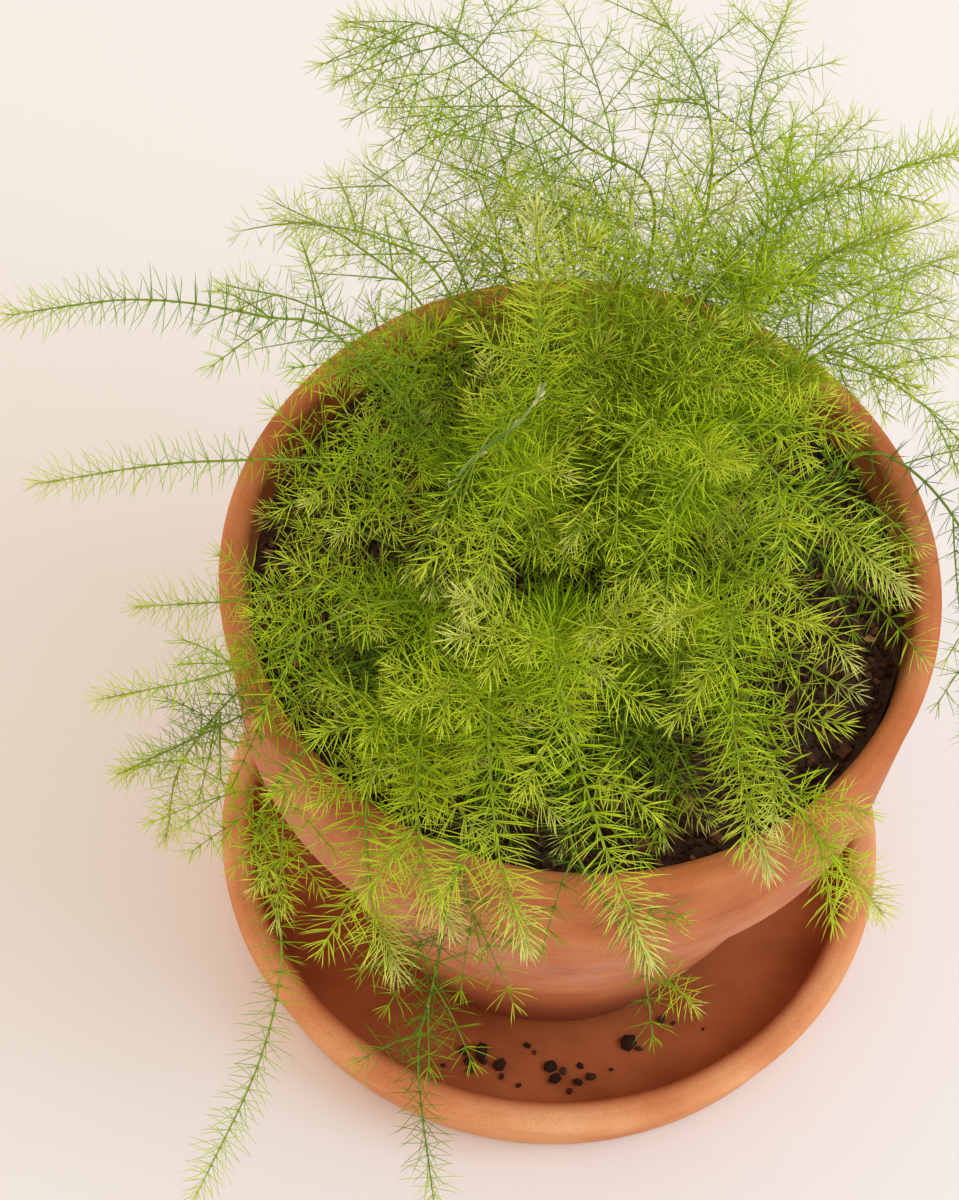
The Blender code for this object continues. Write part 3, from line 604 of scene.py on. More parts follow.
def make_pot(material):
    """The thrown pot: foot, tapered body, stepped collar and a rounded lip."""
    floor = POT_BASE + POT_FLOOR
    lip = RIM_TOP - LIP_ROUND
    shoulder = COLLAR_FOOT - COLLAR_STEP
    body_low = POT_BASE + FOOT_ROUND
    rings = [(DRAIN_RADIUS, POT_BASE)]
    rings += arc((POT_FOOT_RADIUS - FOOT_ROUND, body_low), FOOT_ROUND, -90, 0, 5)
    rings += wall_rings(body_low, shoulder, 12, 12)
    rings += arc((COLLAR_FOOT_RADIUS - COLLAR_EDGE, COLLAR_FOOT), COLLAR_EDGE, -80, 0, 4)
    rings += wall_rings(COLLAR_FOOT, lip, 8, 7)
    rings += arc((RIM_RADIUS - LIP_ROUND, lip), LIP_ROUND, 0, 90, 8)
    rings += arc((RIM_RADIUS - POT_WALL + LIP_ROUND, lip), LIP_ROUND, 90, 180, 8)
    rings += [(COLLAR_FOOT_RADIUS - POT_WALL, COLLAR_FOOT), (pot_inner_radius(shoulder), shoulder)]
    rings += [(pot_inner_radius(floor + FOOT_ROUND), floor + FOOT_ROUND),
              (pot_inner_radius(floor) - FOOT_ROUND, floor), (DRAIN_RADIUS, floor),
              (DRAIN_RADIUS, POT_BASE)]
    piece = thrown("terracotta_pot", rings)
    smooth_round(piece)
    finish_piece(piece, material, "pot")


def make_saucer(material):
    """The deep saucer with its thick rounded lip."""
    lip = SAUCER_HEIGHT - SAUCER_ROUND
    inner = SAUCER_RADIUS - SAUCER_WALL
    rings = [(POLE, 0.0)]
    rings += arc((SAUCER_FOOT_RADIUS - SAUCER_ROUND, SAUCER_ROUND), SAUCER_ROUND, -90, 0, 6)
    rings += arc((SAUCER_RADIUS - SAUCER_ROUND, lip), SAUCER_ROUND, 0, 90, 8)
    rings += arc((inner + SAUCER_ROUND, lip), SAUCER_ROUND, 90, 180, 8)
    rings += arc((inner - SAUCER_COVE, SAUCER_FLOOR + SAUCER_COVE), SAUCER_COVE, -10, -90, 6)
    rings += [(POLE, SAUCER_FLOOR)]
    piece = thrown("terracotta_saucer", rings)
    smooth_round(piece)
    finish_piece(piece, material, "saucer")


def soil_height(x, y):
    """Height of the soil's lumpy top: broad hollows, lumps and fine crumbs, level near the wall."""
    share = min(1.0, math.hypot(x, y) / pot_inner_radius(SOIL_TOP))
    broad, lumps, fine = (noise.noise(Vector((x, y, level)) / (width * MM)) * height * MM
                          for width, height, level in SOIL_LUMPS)
    return SOIL_TOP + (broad + abs(lumps)) * (1 - share ** 6) + fine * SOIL_FINE


def make_soil(material):
    """Soil that fills the pot to below its lip, with a lumpy top."""
    floor = POT_BASE + POT_FLOOR + GAP
    top_radius = pot_inner_radius(SOIL_TOP) - GAP
    rings = [(POLE, floor), (pot_inner_radius(floor) - FOOT_ROUND - GAP, floor),
             (pot_inner_radius(COLLAR_FOOT - COLLAR_STEP) - GAP, COLLAR_FOOT - COLLAR_STEP),
             (COLLAR_FOOT_RADIUS - POT_WALL - GAP, COLLAR_FOOT)]
    count = int(top_radius / SOIL_RING)
    rings += [(top_radius - (top_radius - POLE) * ring / count, SOIL_TOP) for ring in range(count + 1)]
    piece = thrown("potting_soil", rings, around=120)
    for point in piece.data.vertices:
        if point.co.z > SOIL_TOP - GAP:
            point.co.z = soil_height(point.co.x, point.co.y)
    smooth_round(piece, angle=60)
    finish_piece(piece, material, "soil")


def bark_chip():
    """One bark chip, a broken flat block, as a model for the others."""
    select_only()
    bpy.ops.mesh.primitive_cube_add(size=1.0)
    return broken_up(bpy.context.object, offset=0.16, seed=4, cuts=1)


def round_crumb():
    """One crumb of peat, an uneven round lump, as a model for the others."""
    select_only()
    bpy.ops.mesh.primitive_ico_sphere_add(subdivisions=1, radius=0.5)
    return broken_up(bpy.context.object, offset=0.17, seed=9)


def broken_up(lump, offset, seed, cuts=0):
    """Cut a lump's faces finer, move its corners at random, and take its shape."""
    bpy.ops.object.mode_set(mode="EDIT")
    bpy.ops.mesh.select_all(action="SELECT")
    if cuts:
        bpy.ops.mesh.subdivide(number_cuts=cuts)
    bpy.ops.transform.vertex_random(offset=offset, seed=seed)
    bpy.ops.mesh.quads_convert_to_tris()
    bpy.ops.object.mode_set(mode="OBJECT")
    return shape_of(lump)


def grown_needle():
    """One needle, a three-sided rod one unit long with a long point, as a model for the others."""
    select_only()
    bpy.ops.mesh.primitive_cylinder_add(vertices=3, radius=1.0, depth=NEEDLE_BEND, end_fill_type="NGON",
                                        location=(0, 0, NEEDLE_BEND / 2))
    needle = bpy.context.object
    bpy.ops.object.transform_apply(location=True, rotation=False, scale=False)
    close_to_point(needle, 0.9, 1.0 - NEEDLE_BEND)
    return shape_of(needle)


def short_needle():
    """One needle of the inner stems, a three-sided spindle one unit long, as a model for the others."""
    select_only()
    bpy.ops.mesh.primitive_cone_add(vertices=3, radius1=1.2, radius2=0.0, depth=1.0 - NEEDLE_BEND,
                                    location=(0, 0, (1.0 + NEEDLE_BEND) / 2))
    needle = bpy.context.object
    bpy.ops.object.transform_apply(location=True, rotation=False, scale=False)
    close_to_point(needle, -0.9, -NEEDLE_BEND)
    return shape_of(needle)


def close_to_point(needle, facing, distance):
    """Draw the end face that faces up or down out to a point."""
    for part in list(needle.data.vertices) + list(needle.data.edges) + list(needle.data.polygons):
        part.select = False
    for face in needle.data.polygons:
        face.select = face.normal.z > facing if facing > 0 else face.normal.z < facing
    bpy.ops.object.mode_set(mode="EDIT")
    bpy.ops.mesh.select_mode(type="FACE")
    bpy.ops.mesh.extrude_region_move(TRANSFORM_OT_translate={"value": (0, 0, distance)})
    bpy.ops.mesh.merge(type="CENTER")
    bpy.ops.object.mode_set(mode="OBJECT")


def shape_of(model):
    """Take the points and triangles of a model, and remove it."""
    mesh = model.data
    points = np.empty(len(mesh.vertices) * 3)
    mesh.vertices.foreach_get("co", points)
    mesh.calc_loop_triangles()
    faces = np.empty(len(mesh.loop_triangles) * 3, dtype=np.int64)
    mesh.loop_triangles.foreach_get("vertices", faces)
    bpy.data.objects.remove(model, do_unlink=True)
    return points.reshape(-1, 3), faces.reshape(-1, 3)


def copies(name, model, places, growth):
    """Copy a model into one mesh. Places are (count, points, 3) positions, growth is one colour each."""
    model_points, model_faces = model
    count, size = places.shape[0], len(model_points)
    faces = (model_faces[None] + np.arange(count)[:, None, None] * size).reshape(-1, 3)
    mesh = bpy.data.meshes.new(name)
    mesh.from_pydata(places.reshape(-1, 3).tolist(), [], faces.tolist())
    paint_growth(mesh, np.repeat(growth, size, axis=0))
    return in_scene(name, mesh)


def paint_growth(mesh, values):
    """Store a colour for each point, read by the materials."""
    layer = mesh.color_attributes.new("growth", "FLOAT_COLOR", "POINT")
    colours = np.ones((len(mesh.vertices), 4))
    colours[:, :3] = values
    layer.data.foreach_set("color", colours.ravel())


def scattered(name, model, spots, sizes, shades, chance):
    """Copies of a lump at given spots, each turned, stretched and shaded its own way."""
    points = model[0]
    places = []
    for spot, size in zip(spots, sizes):
        turn = Matrix.Rotation(chance.uniform(0, math.tau), 3, "Z")
        turn = turn @ Matrix.Rotation(chance.uniform(-0.6, 0.6), 3, "X")
        turned = (np.array(turn) @ (points * np.array(size)).T).T
        places.append(turned + np.array(spot))
    growth = np.array([(0.0, shade, 0.0) for shade in shades])
    return copies(name, model, np.array(places), growth)


def make_soil_bits(material):
    """Bark chips and crumbs lying on the soil, and the few that fell in the saucer."""
    chance = random.Random(SEED)
    chip, crumb = bark_chip(), round_crumb()
    for name, model, bits in (("bark_chips", chip, BARK_CHIPS), ("peat_crumbs", crumb, PEAT_CRUMBS)):
        count, least, most, flat = bits
        spots, sizes = [], []
        for _ in range(count):
            reach = pot_inner_radius(SOIL_TOP) - (0.5 * most + BIT_CLEAR) * MM
            reach *= math.sqrt(chance.random())
            angle = chance.uniform(0, math.tau)
            x, y = reach * math.cos(angle), reach * math.sin(angle)
            size = (least + (most - least) * chance.random() ** 2) * MM
            spots.append((x, y, soil_height(x, y) + BIT_RAISE * size))
            sizes.append((size, size * chance.uniform(*BIT_WIDTHS), size * flat))
        shades = [0.05 + 0.75 * chance.random() ** 1.6 for _ in range(count)]
        piece = scattered(name, model, spots, sizes, shades, chance)
        finish_piece(piece, material)
    spots = [polar(azimuth, reach * MM, SAUCER_FLOOR + 0.3 * size * MM)
             for azimuth, reach, size in FALLEN_CRUMBS]
    sizes = [(chance.uniform(0.9, 1.6) * size * MM, chance.uniform(0.7, 1.1) * size * MM, 0.6 * size * MM)
             for azimuth, reach, size in FALLEN_CRUMBS]
    shades = [chance.uniform(0.0, 0.45) for _ in spots]
    piece = scattered("fallen_crumbs", crumb, spots, sizes, shades, chance)
    finish_piece(piece, material)


def polar(azimuth, reach, height):
    """A point from its direction round the pot, its distance from the axis and its height."""
    angle = math.radians(azimuth)
    return Vector((reach * math.cos(angle), reach * math.sin(angle), height))


def smooth_path(points, count):
    """Points spaced evenly on one smooth curve through the given points."""
    guide = [2 * points[0] - points[1]] + list(points) + [2 * points[-1] - points[-2]]
    fine = []
    for before, start, stop, after in zip(guide, guide[1:], guide[2:], guide[3:]):
        for step in range(CURVE_STEPS):
            t = step / CURVE_STEPS
            fine.append(0.5 * (2 * start + (stop - before) * t
                               + (2 * before - 5 * start + 4 * stop - after) * t ** 2
                               + (3 * start - before - 3 * stop + after) * t ** 3))
    fine.append(points[-1].copy())
    return resample(fine, count)


def resample(points, count):
    """The same path with evenly spaced points."""
    lengths = [0.0]
    for start, stop in zip(points, points[1:]):
        lengths.append(lengths[-1] + (stop - start).length)
    path = []
    index = 0
    for step in range(count):
        wanted = lengths[-1] * step / (count - 1)
        while index < len(points) - 2 and lengths[index + 1] < wanted:
            index += 1
        share = (wanted - lengths[index]) / (lengths[index + 1] - lengths[index])
        path.append(points[index].lerp(points[index + 1], share))
    return path


def path_length(path):
    """Length along a path."""
    return sum((stop - start).length for start, stop in zip(path, path[1:]))


def at_share(path, share):
    """Point and direction at a share of an evenly spaced path."""
    place = min(max(share, 0.0), 0.9999) * (len(path) - 1)
    index = int(place)
    direction = (path[index + 1] - path[index]).normalized()
    return path[index].lerp(path[index + 1], place - index), direction


def side_of(direction, roll):
    """A unit vector square to a direction, turned round it by roll from straight up."""
    level = direction.cross(Vector((0, 0, 1)))
    if level.length < 0.05:
        level = Vector((1, 0, 0)) - direction * direction.x
    level.normalize()
    upward = level.cross(direction)
    return upward * math.cos(roll) + level * math.sin(roll)


def main_path(row):
    """The arching line of a main stem, from its foot in the soil to its tip."""
    root, way = row[1], row[2]
    foot = polar(root[0], root[1] * MM, SOIL_TOP - ROOT_DEPTH)
    upright = foot + Vector((0, 0, ROOT_DEPTH + STEM_UPRIGHT))
    points = [upright, upright + Vector((0, 0, STEM_BEND))]
    points += [polar(azimuth, reach * MM, height * MM) for azimuth, reach, height in way]
    return foot, smooth_path(points, STEM_POINTS)


def spray_path(stem, share, roll, length, lean=SPRAY_LEAN, bow=0.0):
    """A side spray that leaves the stem at a slant, bows sideways and bends down towards its tip."""
    foot, onward = at_share(stem, share)
    aside = side_of(onward, roll)
    heading = onward * math.cos(lean) + aside * math.sin(lean)
    beside = heading.cross(onward)
    path = []
    for step in range(SPRAY_POINTS):
        part = step / (SPRAY_POINTS - 1)
        drop = Vector((0, 0, -SPRAY_DROOP * length * part ** 2))
        bend = (onward * SPRAY_INWARD + beside * bow) * length * part ** 2
        path.append(foot + heading * length * part + drop + bend)
    return path


def clear_of_pot(points, margin):
    """Whether each of some points keeps clear of the soil, the pot and the saucer's room."""
    x, y, z = np.array(points).T
    reach = np.hypot(x, y)
    widening = (RIM_RADIUS - COLLAR_FOOT_RADIUS) * (z - COLLAR_FOOT) / (RIM_TOP - COLLAR_FOOT)
    inner = COLLAR_FOOT_RADIUS + widening - POT_WALL - margin
    over_soil = (reach < inner) & (z > SOIL_TOP + margin)
    beside = (reach > RIM_RADIUS + margin) & (z > SAUCER_HEIGHT + margin)
    return (z > RIM_TOP + margin) | over_soil | beside


def over_bare_soil(points):
    """Whether any of some points hangs low over a place where the soil lies bare."""
    x, y, z = np.array(points).T / MM
    for middle_x, middle_y, radius, top in BARE_SOIL:
        if ((np.hypot(x - middle_x, y - middle_y) < radius) & (z < top)).any():
            return True
    return False


def frame_sprays(row, last):
    """The frame's own side sprays, as (share of the stem, roll in degrees, length, lean)."""
    name, count, longest = row[0], row[3], row[4] * MM
    plans = []
    for number in range(count):
        chance = random.Random("stem_" + name + str(number))
        part = number / max(count - 1, 1)
        length = max(longest * (1 - SPRAY_TAPER * part) * chance.uniform(*SPRAY_LENGTHS), SPRAY_SHORTEST)
        side = 1 if number % 2 else -1
        turn = side * (SPRAY_ROLL + chance.uniform(-SPRAY_ROLL_SWAY, SPRAY_ROLL_SWAY))
        plans.append((SPRAY_FIRST + (last - SPRAY_FIRST) * part, turn, length, SPRAY_LEAN))
    return plans


def extra_sprays(row, last, stem_length):
    """More side sprays between them and lower down, a few millimetres apart on both sides."""
    name, longest, habit = row[0], row[4] * MM, row[6]
    chance = random.Random("stem_" + name + "extra")
    if name == PLUME_STEM:
        return plume_sprays(longest, last, chance)
    if name.startswith("pale_"):
        return []
    inner = name.startswith("inner_")
    step = INNER_EXTRA_STEP if inner else EXTRA_STEP
    if habit == "haze" and not name.startswith("fan_"):
        step = AIRY_EXTRA_STEP
    last = last if inner else min(last, EXTRA_LAST)
    if habit == "thick":
        last = min(last, SINGLE_LAST)
    count = int((last - EXTRA_FIRST) * stem_length / step)
    plans = []
    for number in range(count):
        part = (number + chance.uniform(-EXTRA_SWAY, EXTRA_SWAY)) / max(count - 1, 1)
        side = 1 if number % 2 else -1
        turn = side * chance.uniform(*EXTRA_ROLLS)
        length = longest * (1 - SPRAY_TAPER * max(part, EXTRA_TAPER_FROM)) * chance.uniform(*EXTRA_LENGTHS)
        lean = math.radians(chance.uniform(*EXTRA_LEANS))
        plans.append((EXTRA_FIRST + (last - EXTRA_FIRST) * part, turn, max(length, EXTRA_SHORTEST), lean))
    return plans


def plume_sprays(longest, last, chance):
    """The comb of long fine sprays that hangs out to the left of the back plume, and a few on its right."""
    plans = []
    for number in range(PLUME_SPRAYS):
        part = number / (PLUME_SPRAYS - 1)
        length = longest * (1 - PLUME_TAPER * part) * chance.uniform(*PLUME_LENGTHS)
        lean = math.radians(chance.uniform(*PLUME_LEANS))
        share = PLUME_FIRST + (last - PLUME_FIRST) * part
        plans.append((share, -chance.uniform(*PLUME_ROLLS), length, lean))
        if number % 3 == 0:
            share = PLUME_RIGHT_FIRST + (last - PLUME_RIGHT_FIRST) * part
            roll = chance.uniform(*PLUME_RIGHT_ROLLS)
            plans.append((share, roll, length * PLUME_RIGHT_LENGTH, lean * PLUME_RIGHT_LEAN))
    return plans


def side_sprays(row, stem):
    """Every side spray of a stem that keeps clear of the pot and the soil, turned up where it would not."""
    stem_length = path_length(stem)
    last = 1 - row[5] * MM / stem_length
    chance = random.Random("stem_" + row[0] + "bow")
    paths = []
    plans = frame_sprays(row, last) + extra_sprays(row, last, stem_length)
    for number, (share, turn, length, lean) in enumerate(plans):
        bow = chance.uniform(-SPRAY_BOW, SPRAY_BOW)
        for attempt in range(ROLL_TRIES):
            roll = math.radians(turn * (1 - attempt / ROLL_TRIES))
            trial = spray_path(stem, share, roll, length, lean, bow)
            if clear_of_pot(trial[2:], SPRAY_MARGIN).all():
                if number < row[3] or not over_bare_soil(trial):
                    paths.append(trial)
                break
    return paths


def side_shoots(spray, chance):
    """Short shoots left and right along a side spray."""
    paths = []
    length = path_length(spray)
    if length < SHOOT_LEAST_SPRAY:
        return paths
    for number, share in enumerate(SHOOT_SHARES):
        size = length * (1.0 - share) * chance.uniform(*SHOOT_LENGTHS)
        if size < SHOOT_SHORTEST:
            continue
        side = 1 if number % 2 else -1
        roll = math.radians(side * chance.uniform(*SHOOT_ROLLS))
        trial = resample(spray_path(spray, share, roll, size), SHOOT_POINTS)
        if clear_of_pot(trial, SHOOT_MARGIN).all() and not over_bare_soil(trial):
            paths.append(trial)
    return paths


def needles_on(path, bare, own_tone, pale, habit, order, chance, rows):
    """Whorls of needles from a bare share of the path to its tip, close and pale at the tip.

    The order is 0 on the main stem, 1 on its sprays and 2 on their shoots. Each needle is a row: its start,
    its heading, the direction of the path there, its length, tone, shade and thickness.
    """
    full, young_step, old_step, *lengths, crowded, thickness = HABITS[habit]
    longest = lengths[order] * MM
    crowded *= MM * (SPRAY_CROWDING if order else 1.0)
    pale_within = PALE_WITHIN if order else PALE_WITHIN_STEM
    if habit == "thick":
        pale_within *= PALE_THICK
    length = path_length(path)
    behind = FIRST_WHORL
    roll = chance.uniform(0, math.tau)
    while behind < length * (1 - bare):
        foot, onward = at_share(path, 1 - behind / length)
        grown = min(1.0, behind / crowded)
        settled = min(1.0, max(0.0, behind - crowded) / (SETTLED_AFTER - crowded))
        paleness = pale * math.exp(-behind / pale_within)
        count = round(WHORL_AT_TIP + (full - min(order, 1) - WHORL_AT_TIP) * grown)
        opened = (LEAN_YOUNG - LEAN_AT_TIP) * grown ** 0.7
        spread = LEAN_AT_TIP + opened + (LEAN_FULL - LEAN_YOUNG) * settled
        usual = NEEDLE_SHORTEST + (longest - NEEDLE_SHORTEST) * grown ** 0.6
        roll += GOLDEN_ANGLE
        for number in range(count):
            turn = roll + math.tau * number / count + chance.uniform(-TURN_SWAY, TURN_SWAY)
            lean = math.radians(spread + chance.uniform(-LEAN_SWAY, LEAN_SWAY))
            size = usual * chance.uniform(*NEEDLE_SIZES)
            heading = onward * math.cos(lean) + side_of(onward, turn) * math.sin(lean)
            start = foot + onward * chance.uniform(-FOOT_SWAY, FOOT_SWAY) * MM
            tone = own_tone - DEEPENING * settled + (1.0 - own_tone) * paleness
            tone += chance.uniform(-TONE_SWAY, TONE_SWAY)
            rows.append((*start, *heading, *onward, size, tone, chance.random(), thickness))
        step = young_step * MM * (TIP_STEP_SHARE + (1 - TIP_STEP_SHARE) * grown)
        behind += (step + (old_step - young_step) * MM * settled) * (1.0 if order == 0 else SPRAY_STEP)
    return rows


def needle_places(model_points, rows):
    """Where each needle's points lie: along its heading, bending gently towards the spray's tip."""
    start, heading, onward, size = rows[:, 0:3], rows[:, 3:6], rows[:, 6:9], rows[:, 9]
    bow = NEEDLE_BOW * (0.5 + rows[:, 11])[:, None, None]
    bend = onward - heading * np.sum(heading * onward, axis=1)[:, None]
    bend /= np.maximum(np.linalg.norm(bend, axis=1), 1e-9)[:, None]
    beside = np.cross(heading, bend)
    x, y, z = model_points.T[:, None, :, None]
    along = heading[:, None, :] * z * size[:, None, None]
    curve = bend[:, None, :] * bow * z ** 2 * size[:, None, None]
    across = NEEDLE_RADIUS * rows[:, 12][:, None, None] * (bend[:, None, :] * x + beside[:, None, :] * y)
    return start[:, None, :] + along + curve + across


def needles_from(name, model, rows):
    """One piece with a copy of a needle for each row, coloured by its tone and its own shade."""
    growth = np.stack([rows[:, 10], rows[:, 11], np.zeros(len(rows))], axis=1)
    return copies(name, model, needle_places(model[0], rows), growth)


def cores_of(name, paths):
    """Round stems along paths: each path is (points, radius at its foot, radius at its tip)."""
    curve = bpy.data.curves.new(name, "CURVE")
    curve.dimensions = "3D"
    curve.bevel_depth = 1.0
    curve.bevel_resolution = 1
    curve.use_fill_caps = True
    for path, foot_radius, tip_radius in paths:
        line = curve.splines.new("POLY")
        line.points.add(len(path) - 1)
        for index, (point, place) in enumerate(zip(line.points, path)):
            point.co = (*place, 1.0)
            point.radius = foot_radius + (tip_radius - foot_radius) * index / (len(path) - 1)
    select_only(in_scene(name, curve))
    bpy.ops.object.convert(target="MESH")
    return bpy.context.object


def make_leafy_stem(row, model, material, node=None):
    """One stem with its sprays, shoots and needles, in one piece."""
    name, habit, green = row[0], row[6], row[7]
    chance = random.Random("stem_" + name + "needles")
    # Haze stems take a paler tone that is partly painted light shining through them
    tone = HAZE_TONE_WITH_PAINTED_LIGHT if habit == "haze" else GREEN_TONE[green]
    tone += chance.uniform(-TONE_SWAY, TONE_SWAY) + (THICK_PALER if habit == "thick" else 0.0)
    tone -= STEM_DEEPER if name in DEEPER_STEMS else 0.0
    foot, stem = main_path(row)
    sprays = side_sprays(row, stem)
    shoots = [shoot for spray in sprays for shoot in side_shoots(spray, chance)]
    rows = needles_on(stem, STEM_BARE, tone, PALE_STEM, habit, 0, chance, [])
    for number, path in enumerate(sprays + shoots):
        pale = PALE_YOUNG_SPRAY if chance.random() < YOUNG_SPRAYS else PALE_SPRAY
        order = 1 if number < len(sprays) else 2
        own_tone = tone + chance.uniform(-SPRAY_TONE_SWAY, SPRAY_TONE_SWAY)
        needles_on(path, SPRAY_BARE, own_tone, pale, habit, order, chance, rows)
    for path in sprays:
        onward = (path[1] - path[0]).normalized()
        rows.append((*(path[0] - onward * BUD_SINK * MM), *onward, *side_of(onward, 0.0), *BUD))
    rows = np.array(rows)
    middles = rows[:, 0:3] + rows[:, 3:6] * rows[:, 9:10] / 2
    tips = rows[:, 0:3] + rows[:, 3:6] * rows[:, 9:10]
    rows = rows[clear_of_pot(middles, NEEDLE_MARGIN) & clear_of_pot(tips, NEEDLE_MARGIN)]
    needles = needles_from("frond_" + name, model, rows)
    paths = [([foot] + stem, STEM_FOOT_RADIUS, STEM_TIP_RADIUS)]
    paths += [(spray, SPRAY_FOOT_RADIUS, SPRAY_TIP_RADIUS) for spray in sprays]
    paths += [(shoot, SHOOT_FOOT_RADIUS, SPRAY_TIP_RADIUS) for shoot in shoots]
    cores = cores_of(name + "_cores", paths)
    paint_growth(cores.data, np.tile((tone, 0.5, 1.0), (len(cores.data.vertices), 1)))
    select_only(cores, needles)
    bpy.ops.object.join()
    bpy.ops.object.shade_smooth()
    finish_piece(needles, material, node)


def inner_stems():
    """Rows for the stems all round the middle of the pot, lower towards the viewer and the wall."""
    for number in range(INNER_COUNT):
        chance = random.Random("inner" + str(number))
        outward = math.sqrt((number + 0.5) / INNER_COUNT)
        azimuth = math.degrees(number * GOLDEN_ANGLE)
        towards_viewer = max(0.0, -math.sin(math.radians(azimuth)))
        root = 3 + 28 * outward
        height = 178 - 12 * outward - 12 * towards_viewer + chance.uniform(-14, 6)
        turn = chance.uniform(-12, 12)
        reach = min(root + 15 + 25 * outward, INNER_REACH)
        way = ((azimuth + turn, root + 5 + 8 * outward, height - 3),
               (azimuth + 2 * turn, root + 10 + 16 * outward, height),
               (azimuth + 3 * turn, reach, height - chance.uniform(8, 18)))
        green = "old" if chance.random() < INNER_OLD else "fresh"
        if not over_bare_soil([polar(*way[-1][:2], 0.0) * MM]):
            yield ("inner_{:02d}".format(number), (azimuth, root), way, 4, 22, 18, "lace", green)


def edge_stems():
    """Rows for the low stems by the pot's front edge."""
    for number, azimuth in enumerate(EDGE_AZIMUTHS):
        chance = random.Random("edge" + str(number))
        height = chance.uniform(*EDGE_HEIGHTS)
        root = chance.uniform(*EDGE_ROOTS)
        turn = chance.uniform(-14, 14)
        way = ((azimuth + turn, root + 7, height), (azimuth + 2 * turn, root + 17, height + 2),
               (azimuth + 3 * turn, chance.uniform(*EDGE_REACHES), height - 5))
        yield ("edge_{:02d}".format(number), (azimuth, root), way, 4, 20, 14, "lace", "old")


def hanging_stems():
    """Rows for the short stems that hang in front of the middle, with pale tips."""
    for number, (root, way) in enumerate(HANGING_STEMS):
        yield ("pale_{:02d}".format(number), root, way, 3, 17, 22, "brush", "fresh")


def top_stems():
    """Rows for the stems that arch over the top of the plant and its right side."""
    for number, (azimuth, height, reach) in enumerate(TOP_STEMS):
        chance = random.Random("top" + str(number))
        root = chance.uniform(*TOP_ROOTS)
        turn = chance.uniform(-4, 4)
        way = ((azimuth + turn, root + 9, height - 8),
               (azimuth + 1.5 * turn, (root + reach) / 2 + 4, height),
               (azimuth + 2 * turn, reach, height - chance.uniform(*TIP_DROPS)))
        yield ("top_{:02d}".format(number), (azimuth, root), way, 5, 26, 20, "brush", "fresh")


def fan_stems():
    """Rows for the fan of stems over the pot's back."""
    for number, azimuth in enumerate(FAN_AZIMUTHS):
        chance = random.Random("back" + str(number))
        height = chance.uniform(*FAN_HEIGHTS)
        turn = chance.uniform(-5, 5)
        way = ((azimuth + turn, 48, height), (azimuth + 1.5 * turn, 72, height),
               (azimuth + 2 * turn, chance.uniform(*FAN_REACHES), height - chance.uniform(*TIP_DROPS)))
        root = (azimuth, chance.uniform(*FAN_ROOTS))
        yield ("fan_{:02d}".format(number), root, way, 5, 26, 16, "haze", "fresh")


def make_young_shoot():
    """The young bare shoot that has no sprays yet: a waxy rod with papery scales pressed along it."""
    points = smooth_path([Vector(place) * MM for place in YOUNG_SHOOT], YOUNG_SHOOT_POINTS)
    shoot = cores_of("young_shoot", [(points, YOUNG_SHOOT_RADIUS, YOUNG_SHOOT_TIP)])
    smooth_round(shoot)
    finish_piece(shoot, waxy_shoot())
    chance = random.Random("scales")
    rows = []
    for share, size, turn in SHOOT_SCALES:
        foot, onward = at_share(points, share)
        radius = YOUNG_SHOOT_RADIUS * (1 - 0.67 * share)
        aside = side_of(onward, math.radians(turn))
        rows.append((*(foot + aside * radius * 0.9), *(onward + aside * 0.12).normalized(), *aside,
                     size * MM, SCALE_TONE, chance.random(), SCALE_THICKNESS))
    scales = needles_from("shoot_scales", inner_needle, np.array(rows))
    finish_piece(scales, papery_scale())


def make_stage():
    """A plain pale floor."""
    select_only()
    bpy.ops.mesh.primitive_plane_add(size=6.0, location=(0, 0, 0))
    floor = bpy.context.object
    floor.name = "studio_floor"
    floor.data.materials.append(studio_paper())


def area_light(name, place, aim, size, power, colour):
    """A square soft light that looks at a point."""
    light = bpy.data.lights.new(name, "AREA")
    light.size = size
    light.energy = power
    light.color = linear(colour)[:3]
    lamp = in_scene(name, light)
    lamp.location = place
    lamp.rotation_euler = (Vector(aim) - Vector(place)).to_track_quat("-Z", "Y").to_euler()


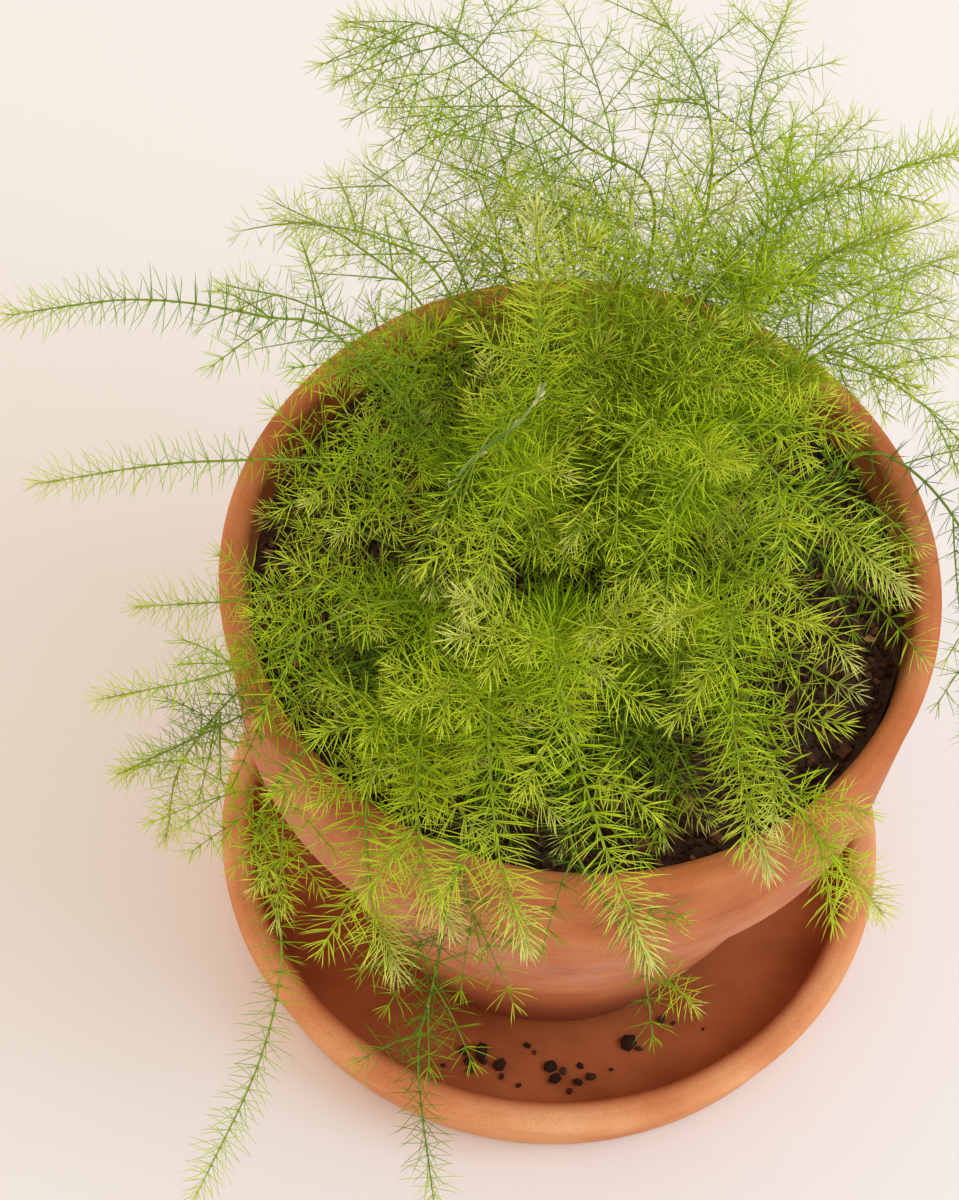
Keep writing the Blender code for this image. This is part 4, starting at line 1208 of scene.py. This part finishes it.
def make_lights():
    """Soft studio light: a pale warm room and a cooler softbox on the right."""
    area_light("side_softbox", (0.97, -0.20, 1.05), (0, 0, 0.05), size=0.7, power=8.5, colour="B8DCFF")
    world = bpy.data.worlds.new("pale_room")
    world.use_nodes = True
    backdrop = world.node_tree.nodes["Background"]
    backdrop.inputs["Color"].default_value = linear("FFF4E8")
    backdrop.inputs["Strength"].default_value = 1.0
    bpy.context.scene.world = world
    bpy.context.scene.view_settings.view_transform = "Standard"


def make_camera():
    """A long lens that looks down on the pot, as in the photograph."""
    elevation = math.radians(60.8)
    distance = 0.865
    target = Vector((0, 0, 0.060))
    focal_pixels = 3880.0
    image_width, image_height = 959.0, 1200.0
    target_x, target_y = 577.5, 730.0
    roll = math.radians(-7.0)
    right = Vector((1, 0, 0))
    back = Vector((0, -math.cos(elevation), math.sin(elevation)))
    up = back.cross(right)
    axes = Matrix((right, up, -back))
    sight = Vector(((target_x - image_width / 2) / focal_pixels,
                    -(target_y - image_height / 2) / focal_pixels, 1.0)).normalized()
    yaw, pitch = math.atan2(sight.x, sight.z), math.asin(sight.y)
    aim = Matrix.Rotation(yaw, 3, "Y") @ Matrix.Rotation(-pitch, 3, "X") @ axes
    view = Matrix.Rotation(roll, 3, "Z") @ aim
    turned = Matrix((view[0], view[1], -view[2])).transposed()
    camera = bpy.data.cameras.new("camera")
    camera.sensor_width = 36.0
    camera.lens = focal_pixels * camera.sensor_width / image_height
    camera.clip_start = 0.01
    eye = in_scene("camera", camera)
    eye.matrix_world = Matrix.Translation(target + back * distance) @ turned.to_4x4()
    bpy.context.scene.camera = eye


make_camera()
make_lights()
make_stage()
make_pot(pot_terracotta())
make_saucer(saucer_terracotta())
make_soil(damp_soil())
make_soil_bits(composted_bark())
green_needles = living_needles()
outer_needle, inner_needle = grown_needle(), short_needle()
for row in LEAFY_STEMS:
    make_leafy_stem(row, outer_needle, green_needles, "stem_" + row[0])
for row in [*inner_stems(), *edge_stems(), *hanging_stems(), *top_stems(), *fan_stems()]:
    make_leafy_stem(row, inner_needle, green_needles)
make_young_shoot()
